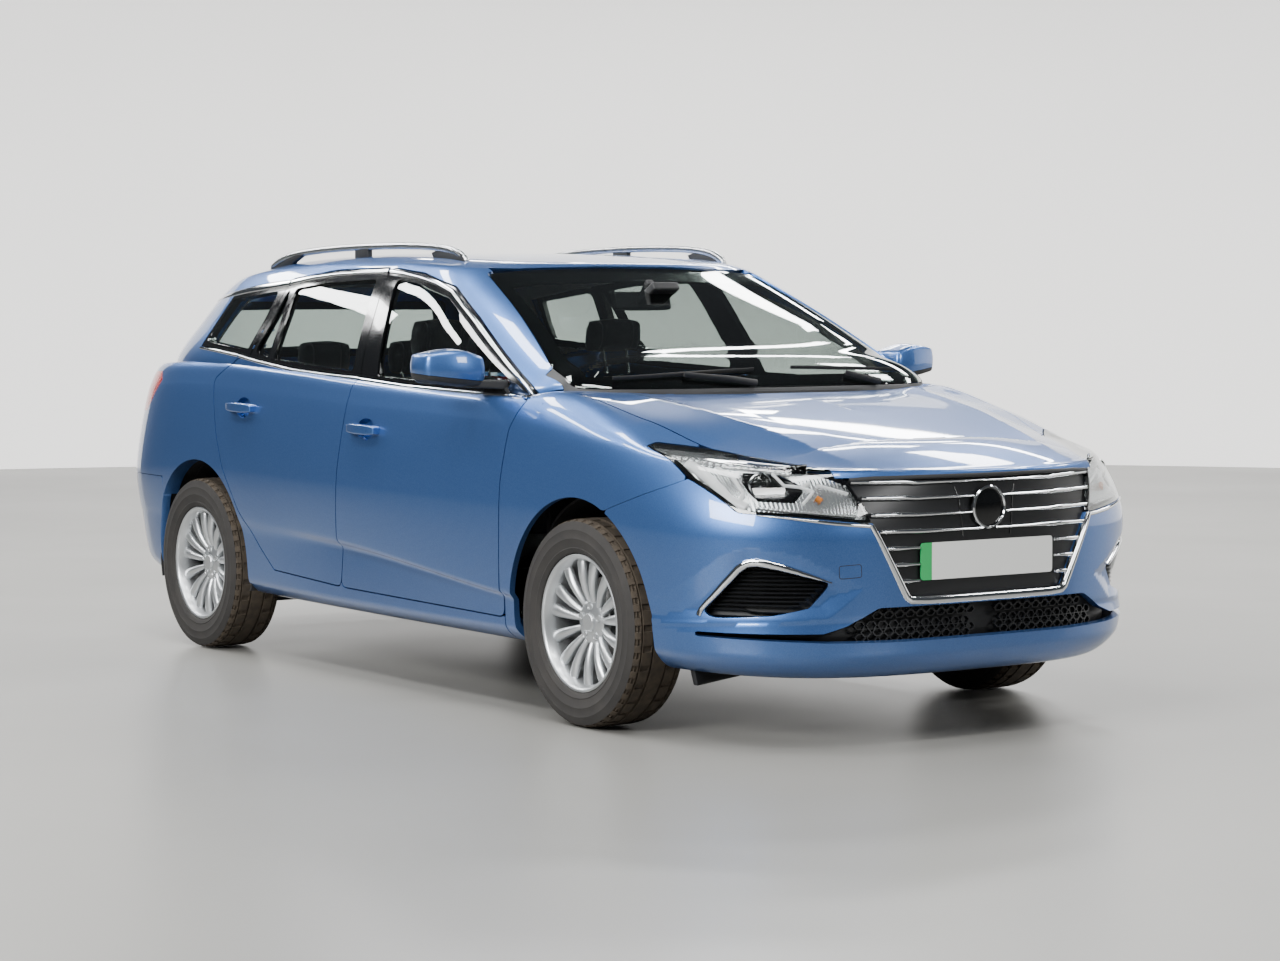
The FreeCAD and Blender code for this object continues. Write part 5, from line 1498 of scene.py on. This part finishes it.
# ---------------------------------------------------------------- wipers
# Steel arms, powder-coated black, hinged near the cowl; flat rubber blades rest on the glass.
# Columns: name, body, side, arm path and blade path as seen from in front, surface range
WIPERS = (
    ("wiper_driver", "body", -1, [(0.10, 1.052), (0.20, 1.066), (0.36, 1.080)], [(0.06, 1.098), (0.34, 1.088),
     (0.61, 1.076)], (0.0, 0.98)),
    ("wiper_passenger", "body", 1, [(0.42, 1.050), (0.36, 1.062), (0.30, 1.078)], [(0.10, 1.102), (0.32, 1.097),
     (0.54, 1.090)], (0.0, 0.98)),
    ("wiper_rear", "tailgate", -1, [(0.0, 1.112), (0.06, 1.122), (0.14, 1.130)], [(0.0, 1.142), (0.16, 1.136),
     (0.34, 1.126)], (2.02, 3.0)),
)
for name, body, sign, arm, blade_path, u_range in WIPERS:
    parts = [strip(name, glasshouse, FRONT_VIEW, arm,
                   [(a, o + 0.010) for a, o in half_round(0.016, 0.010, 0.006)],
                   (sign,), widths=(1.5, 1, 0.7), u_range=u_range, v_range=(0.5, 4.0)),
             strip(name + "_blade", glasshouse, FRONT_VIEW, blade_path,
                   [(a, o + 0.004) for a, o in half_round(0.010, 0.008, 0.004)], (sign,), widths=(0.6, 1, 0.6),
                   u_range=u_range, v_range=(0.5, 4.0))]
    finish_piece(tidy_normals(joined(parts, name)), rubber, body, "grille_black", angle=50)

# ---------------------------------------------------------------- seats
# Foam pads under a stretched dark cloth, sewn in panels with raised side bolsters, on moulded black
# bases; each headrest stands on two polished steel posts.
seat_cloth = textured("dark_woven_seat_cloth", "#38373a", 0.82, "Voronoi", {"Scale": 420.0},
                      tint=("#2a292c", "#4a494b"), relief=(0.35, 0.0006), Sheen_Weight=0.35)
FOAM_PRESSURE, FOAM_FRAMES = 4.0, 20


def stuffed(name, corners, y_range, bolster, voxel, cap, seams, fill):
    """Pad between four corners in side view (low rear, high rear, low front, high front) at the two ends
    of its length: its cover is stretched over the foam, then sewn along seams (direction, offset)."""
    piece = cut_cube(2.0, 11)
    piece.name = name
    low_a, high_a, low_b, high_b = (Vector((x / 1000, 0, z / 1000)) for x, z in corners)
    middle, half = (y_range[0] + y_range[1]) / 2000, (y_range[1] - y_range[0]) / 2000
    outward_way = ((high_a - low_a).normalized() + (high_b - low_b).normalized()).normalized()
    for vertex in piece.data.vertices:
        ball = vertex.co.normalized() * max(abs(c) for c in vertex.co)
        a, b, c = (0.72 * u + 0.28 * w for u, w in zip(vertex.co, ball))
        low, high = low_a.lerp(low_b, (a + 1) / 2), high_a.lerp(high_b, (a + 1) / 2)
        swell = bolster * min(max((abs(b) - 0.5) / 0.25, 0.0), 1.0) * (c + 1) / 2
        place = low.lerp(high, (c + 1) / 2) + outward_way * swell
        vertex.co = (place.x, middle + b * half * (1 - 0.06 * abs(a) ** 3), place.z)
    tidy_normals(piece)
    apply_modifier(piece, "REMESH", mode="VOXEL", voxel_size=voxel)
    before = [vertex.co.copy() for vertex in piece.data.vertices]
    mod = piece.modifiers.new("foam", "CLOTH")
    mod.settings.use_pressure = True
    mod.settings.uniform_pressure_force = FOAM_PRESSURE
    mod.settings.effector_weights.gravity = 0.0
    mod.point_cache.frame_start, mod.point_cache.frame_end = 1, FOAM_FRAMES
    for step in range(1, FOAM_FRAMES + 1):
        bpy.context.scene.frame_set(step)
    bpy.ops.object.modifier_apply(modifier="foam")
    bpy.context.scene.frame_set(1)
    for vertex, start in zip(piece.data.vertices, before):
        move = vertex.co - start
        vertex.co = start + move * min(1.0, cap / max(move.length, 1e-9))
    smoothed(piece)
    moves = []
    for vertex in piece.data.vertices:
        turned = Vector(vertex.normal).dot(outward_way)
        deep = 0.0
        for direction, offset in seams:
            away = vertex.co.dot(Vector(direction)) - (offset + (middle if direction[1] else 0.0))
            deep = max(deep, math.exp(-(away / 0.006) ** 2))
        moves.append(vertex.normal * (-0.006 * deep * min(max(turned * 3, 0.0), 1.0)))
    for vertex, move in zip(piece.data.vertices, moves):
        vertex.co += move
    return piece


ACROSS = (0.0, 1.0, 0.0)
# Columns: name, corners, y from, y to, bolster, voxel, cap, seams (direction, offset), fill, other places in y
CUSHION_LINE, BACK_LINE = (1.0, 0.0, 0.0), (-0.35, 0.0, 0.94)
PADS = (
    ("front_cushion", ((-140, 405), (-125, 505), (350, 405), (345, 548)), 130, 630, 0.022, 0.010, 0.016,
     ((ACROSS, 0.150), (ACROSS, -0.150), (CUSHION_LINE, 0.060), (CUSHION_LINE, 0.190)), 0.75, (-0.76,)),
    ("front_backrest", ((-148, 520), (-50, 560), (-358, 1085), (-240, 1070)), 140, 620, 0.028, 0.010, 0.014,
     ((ACROSS, 0.145), (ACROSS, -0.145), (BACK_LINE, 0.800), (BACK_LINE, 0.960)), 0.75, (-0.76,)),
    ("front_headrest", ((-378, 1120), (-300, 1120), (-356, 1262), (-280, 1258)), 268, 492, 0.004, 0.007, 0.012,
     ((ACROSS, 0.070), (ACROSS, -0.070)), 0.8, (-0.76,)),
    ("rear_cushion", ((-1000, 330), (-1000, 525), (-548, 330), (-550, 560)), -590, 590, 0.0, 0.012, 0.016,
     ((ACROSS, 0.200), (ACROSS, -0.200), (CUSHION_LINE, -0.760)), 0.75, ()),
    ("rear_backrest", ((-1008, 520), (-912, 548), (-1198, 1035), (-1100, 1022)), -590, 590, 0.0, 0.012, 0.014,
     ((ACROSS, 0.200), (ACROSS, -0.200), (BACK_LINE, 1.100)), 0.75, ()),
    ("rear_headrest", ((-1212, 1044), (-1152, 1044), (-1212, 1176), (-1136, 1170)), -108, 108, 0.004, 0.007,
     0.010, ((ACROSS, 0.060), (ACROSS, -0.060)), 0.8, (-0.40, 0.40)),
)
for name, corners, low_y, high_y, bolster, voxel, cap, seams, fill, moves in PADS:
    first = stuffed(name + "_0", corners, (low_y, high_y), bolster, voxel, cap, seams, fill)
    pads = [first] + [copied(first, "%s_%d" % (name, k + 1), (0.0, move, 0.0)) for k, move in enumerate(moves)]
    for pad in pads:
        finish_piece(pad, seat_cloth, "body", "seat_cloth", "seats", angle=60)

# Posts: x and z of the foot and the head, and each post's y
POSTS = (((-0.292, 1.070), (-0.330, 1.175), (0.33, 0.43, -0.33, -0.43)),
         ((-1.155, 1.010), (-1.178, 1.100), (-0.46, -0.34, -0.06, 0.06, 0.34, 0.46)))
posts = []
for foot_xz, head_xz, places in POSTS:
    for y in places:
        a, b = Vector((foot_xz[0], y, foot_xz[1])), Vector((head_xz[0], y, head_xz[1]))
        bpy.ops.object.select_all(action="DESELECT")
        bpy.ops.mesh.primitive_cylinder_add(vertices=20, radius=0.006, depth=(b - a).length)
        post = bpy.context.object
        apply_modifier(post, "BEVEL", width=0.0015, segments=2)
        post.data.transform(Matrix.Translation((a + b) / 2)
                            @ (b - a).to_track_quat("Z", "Y").to_matrix().to_4x4())
        posts.append(post)
finish_piece(joined(posts, "headrest_posts"), chrome, "body", "rail_silver", angle=40)

bases = []
for y in (0.38, -0.38):
    base = cut_cube(2.0, 3)
    for vertex in base.data.vertices:
        a, b, c = vertex.co
        flare = 1 + 0.18 * c
        vertex.co = (0.10 + a * 0.185 * flare, y + b * 0.165 * flare, 0.335 + c * 0.067)
    rounded_off(base, 0.008, 3)
    bases.append(base)
finish_piece(joined(bases, "front_seat_bases"), black_plastic, "body", "dash_plastic", angle=40)

# ---------------------------------------------------------------- dashboard
# A soft grained pad over a moulded carrier with a hood above the driver's instruments, a silver
# inlay, round and square vents, a wide glass screen, and a centre console between the seats.
soft_trim = textured("soft_grained_charcoal_vinyl", "#26272a", 0.6, "Voronoi", {"Scale": 380.0},
                     relief=(0.35, 0.0006))
satin_silver = textured("satin_silver_paint", "#a9acae", 0.32, "Noise", {"Scale": 90.0, "Detail": 3.0},
                        tone=(0.27, 0.38), Metallic=0.85)
DRIVER_Y, HOOD_RISE = -0.37, 0.024


def drawn_out(name, profile, y_values, shape):
    """Bar of a profile (x, z) drawn out through the y values; shape says where each of its points goes."""
    bpy.ops.object.select_all(action="DESELECT")
    bpy.ops.mesh.primitive_circle_add(vertices=len(profile), fill_type="NGON")
    bar = bpy.context.object
    bar.name = name
    bar.data.transform(bar.matrix_world)
    for vertex, (x, z) in zip(bar.data.vertices, profile):
        vertex.co = (x, y_values[0], z)
    edit_all()
    for y_from, y_to in zip(y_values, y_values[1:]):
        bpy.ops.mesh.extrude_region_move(TRANSFORM_OT_translate={"value": (0, y_to - y_from, 0)})
    bpy.ops.object.mode_set(mode="OBJECT")
    for vertex in bar.data.vertices:
        vertex.co = shape(*vertex.co)
    return tidy_normals(bar)


def dash_shape(x, y, z):
    """Bows the pad to the windscreen and lifts the instrument hood."""
    back = (x - 0.60) / 0.436
    hood = HOOD_RISE * math.exp(-((y - DRIVER_Y) / 0.17) ** 4) \
        * math.exp(-((x - 0.72) / 0.13) ** 2) * (z > 0.90)
    return (x - 0.10 * back * (abs(y) / 0.72) ** 4, y, z + hood - 0.012 * (abs(y) / 0.72) ** 4 * (z > 0.9))


DASH_PROFILE = rounded(drawn([(645, 625), (613, 800), (642, 905), (762, 972), (1030, 982), (1030, 705),
                              (900, 565), (704, 565)]), 0.030, 4)
finish_piece(drawn_out("dash_pad", DASH_PROFILE, np.linspace(-0.720, 0.720, 49).tolist(), dash_shape),
             soft_trim, "body", "dash_plastic", "dashboard", angle=35)
CONSOLE_PROFILE = rounded(drawn([(-148, 264), (-148, 556), (250, 586), (560, 636), (700, 640), (700, 264)]),
                          0.02, 4)
finish_piece(drawn_out("centre_console", CONSOLE_PROFILE, [-0.098, -0.092, -0.07, 0.0, 0.07, 0.092, 0.098],
                       lambda x, y, z: (x, y, z - 0.010 * max(0.0, abs(y) - 0.09) / 0.008 * (z > 0.5))),
             black_plastic, "body", "dash_plastic", angle=35)
INLAY = rounded(drawn([(622, 816), (612, 822), (613, 838), (626, 846)]), 0.003, 2)
finish_piece(drawn_out("dash_inlay", [(x - 0.006, z) for x, z in INLAY], np.linspace(-0.70, 0.70, 41).tolist(),
                       dash_shape), satin_silver, "body", "rail_silver", angle=35)


def slab(name, size, where, tilt, round_by, bulge=0.0):
    """Flat part with rounded edges: width across the car, height, thickness, leant back by a tilt."""
    part = cut_cube(1.0, 4)
    part.name = name
    for vertex in part.data.vertices:
        a, b, c = vertex.co
        vertex.co = (a * size[2] - bulge * (1 - 4 * b * b) * (a < 0), b * size[0], c * size[1])
    rounded_off(part, round_by, 3)
    part.data.transform(Matrix.Translation(where) @ Matrix.Rotation(tilt, 4, "Y"))
    return part


# Columns: name, size, middle, tilt, rounding, material
for name, extent, where, tilt, round_by, material in (
        ("centre_screen", (0.250, 0.150, 0.018), (0.612, 0.0, 0.905), 0.18, 0.005, gloss_black),
        ("instrument_glass", (0.280, 0.085, 0.014), (0.655, DRIVER_Y, 0.925), 0.45, 0.005, gloss_black),
        ("gear_plate", (0.110, 0.300, 0.012), (0.33, 0.0, 0.602), -1.45, 0.004, gloss_black),
        ("glovebox_lid", (0.420, 0.170, 0.016), (0.630, 0.40, 0.705), 0.16, 0.006, soft_trim)):
    finish_piece(slab(name, extent, where, tilt, round_by), material, "body", "dash_plastic", angle=35)
vents = []
for y, wide, high in ((-0.635, 0.105, 0.075), (0.635, 0.105, 0.075), (-0.185, 0.095, 0.070),
                      (0.185, 0.095, 0.070)):
    vents.append(slab("vent", (wide, high, 0.012), (0.618, y, 0.880), 0.30, 0.005))
    vents += [slab("vane", (wide * 0.84, 0.004, 0.014), (0.610 + 0.02 * k, y, 0.880 + 0.016 * k), 0.5, 0.0012)
              for k in (-1, 0, 1)]
finish_piece(joined(vents, "dash_vents"), gloss_black, "body", "dash_plastic", angle=35)

# ---------------------------------------------------------------- steering wheel
# A steel ring in foam and stitched leather, on three spokes with satin silver edges and a padded hub.
leather = textured("stitched_black_leather", "#1b1b1c", 0.45, "Voronoi", {"Scale": 520.0}, relief=(0.3, 0.0005))
COLUMN = Vector((math.cos(math.radians(24)), 0.0, -math.sin(math.radians(24))))
RIM_RADIUS, GRIP_RADIUS = 0.178, 0.0145
wheel_place = Matrix.Translation((0.520, DRIVER_Y, 0.850)) @ COLUMN.to_track_quat("Z", "Y").to_matrix().to_4x4()
bpy.ops.object.select_all(action="DESELECT")
bpy.ops.mesh.primitive_torus_add(major_radius=RIM_RADIUS, minor_radius=GRIP_RADIUS, major_segments=96,
                                 minor_segments=16)
ring = bpy.context.object
ring.name = "steering_rim"
for vertex in ring.data.vertices:
    angle = math.atan2(vertex.co.y, vertex.co.x)
    thumb = 1 + 0.10 * sum(math.exp(-((abs(angle) - at) / 0.16) ** 2) for at in (0.45, math.pi - 0.45))
    centre = Vector((math.cos(angle), math.sin(angle), 0)) * RIM_RADIUS
    vertex.co = centre + (vertex.co - centre) * thumb
ring.data.transform(wheel_place)
finish_piece(ring, leather, "steering_wheel", "steering_leather", "steering_wheel", angle=50)
hub_pad = cut_cube(2.0, 5)
hub_pad.name = "steering_hub_pad"
for vertex in hub_pad.data.vertices:
    ball = vertex.co.normalized() * max(abs(c) for c in vertex.co)
    a, b, c = (0.5 * u + 0.5 * w for u, w in zip(vertex.co, ball))
    vertex.co = (a * 0.066, b * 0.082, c * 0.022 - 0.004)
hub_pad.data.transform(wheel_place)
finish_piece(hub_pad, leather, "steering_wheel", "steering_leather", angle=50)
spokes = []
for turn in (0.5, 0.27, 0.73):
    spoke = cut_cube(1.0, 3)
    for vertex in spoke.data.vertices:
        a, b, c = vertex.co + Vector((0.5, 0, 0))
        vertex.co = (0.050 + a * 0.120, b * (0.040 - 0.014 * math.sin(a * math.pi)), c * 0.013 + 0.004)
    rounded_off(spoke, 0.003, 2)
    spoke.data.transform(wheel_place @ Matrix.Rotation(turn * 2 * math.pi, 4, "Z"))
    spokes.append(spoke)
finish_piece(joined(spokes, "steering_spokes"), satin_silver, "steering_wheel", "rail_silver", angle=35)

# ---------------------------------------------------------------- cabin trim
# Moulded door cards with armrests, and a pale knitted cloth on board over the roof and pillars,
# clipped to the shell; a black mirror hangs from the windscreen.
pale_knit = textured("pale_grey_headliner_knit", "#b9b7b2", 0.9, "Voronoi", {"Scale": 600.0},
                     relief=(0.3, 0.0005), Sheen_Weight=0.3)
finish_piece(panel("headliner", [(glasshouse, (0.0, 3.0), (3.0, 5.0), 0.05, both(
    within(1, -1, 0.56), within(0, -1.66, 0.40), but_not(windscreen_zone(0.015), tailgate_zone(0.04))))],
    0.008, (1, -1), 0.026), pale_knit, "body", "dash_plastic")
ARMRESTS = {"front_door": [(0.60, 0.790), (0.34, 0.772), (0.02, 0.790)],
            "rear_door": [(-0.30, 0.810), (-0.55, 0.800), (-0.84, 0.820)]}
ARM_SECTION = [(-0.034, -0.072), (0.030, -0.072), (0.038, -0.092), (0.034, -0.128), (0.018, -0.134),
               (-0.010, -0.122), (-0.030, -0.100)]
for side, sign in SIDES:
    finish_piece(panel("pillar_covers_" + side, [(glasshouse, (0.05, 2.9), (1.2, 4.0), 0.03, both(
        rail_zone, but_not(windscreen_zone(0.012), door_openings)))], 0.004, (sign,), 0.057),
        pale_knit, "body", "dash_plastic")
    for name, outline, windows, low_u, high_u in DOORS:
        body = name + "_" + side
        finish_piece(panel(body + "_card", [(lower, low_u, (1.5, 7.0), 0.04, both(
            inside(SIDE_VIEW, rounded(outline, 0.03), -0.055), within(2, 0.40, 1.02),
            but_not(in_arch)))], 0.008, (sign,), 0.072), soft_trim, body, "dash_plastic")
        arm = strip(body + "_armrest", lower, SIDE_VIEW, ARMRESTS[name], ARM_SECTION, (sign,), pitch=0.04,
                    widths=(0.6, 1, 1, 0.7), v_range=(4.0, 7.0))
        finish_piece(tidy_normals(arm), black_plastic, body, "dash_plastic", angle=40)
finish_piece(joined([slab("rear_view_mirror", (0.235, 0.062, 0.030), (0.415, 0.0, 1.325), -0.25, 0.012, 0.006),
                     slab("stem", (0.030, 0.080, 0.024), (0.450, 0.0, 1.365), 0.7, 0.006),
                     slab("sensor_case", (0.110, 0.120, 0.030), (0.520, 0.0, 1.352), 1.05, 0.012)],
                    "rear_view_mirror"), black_plastic, "body", "grille_black", angle=40)

# ---------------------------------------------------------------- underbody and running gear
# Pressed steel floor and liners under black sealer, an alloy-cased drive unit, a steel-cased
# battery and cast arms and knuckles: the construction's own solids, each in its own finish.
sealer = textured("black_underbody_sealer", "#1c1c1d", 0.8, "Noise", {"Scale": 120.0, "Detail": 6.0},
                  relief=(0.4, 0.001))
cast_alloy = textured("sand_cast_aluminium", "#8d9092", 0.5, "Noise", {"Scale": 350.0, "Detail": 3.0},
                      relief=(0.3, 0.0006), Metallic=0.9)
chassis_steel = textured("black_dip_coated_steel", "#242527", 0.45, "Noise", {"Scale": 40.0, "Detail": 5.0},
                         tone=(0.35, 0.6), Metallic=0.3)
carpet = textured("needled_grey_carpet", "#3a3b3d", 0.95, "Noise", {"Scale": 500.0, "Detail": 4.0},
                  tint=("#2c2d2f", "#4b4c4e"), relief=(0.6, 0.001), Sheen_Weight=0.4)
# A pressed liner carries each rear arch in to its wheel house
liner = spun("liner", [(0.388, 0.70), (0.388, 0.862), (0.396, 0.862), (0.396, 0.70)], -1.295)
liner.data.transform(Matrix.Translation((0, 0, 0.342 - HUB_Z)))
upper = half_of(liner, "upper", (0, 0, 0.25), (0, 0, 1), clear_outer=False)
bpy.data.objects.remove(liner)
finish_piece(with_twin(upper, "rear_arch_liners"), sealer, "body", "underbody", angle=40)

NODE_FINISHES = (("floor_pan", sealer), ("wheel_houses", sealer), ("bulkhead", black_plastic),
                 ("battery_pack", chassis_steel), ("drive_unit", cast_alloy),
                 ("front_suspension", chassis_steel), ("rear_axle", chassis_steel),
                 ("front_knuckle_left", cast_alloy),
                 ("front_knuckle_right", cast_alloy), ("load_floor", carpet))
for name, material in NODE_FINISHES:
    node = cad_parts[name]
    for index in range(len(node.data.materials)):
        node.data.materials[index] = material

size = {"cad": cad_bounds, "visual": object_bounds()}
{k: [list(map(float, c)) for c in v] for k, v in size.items()}
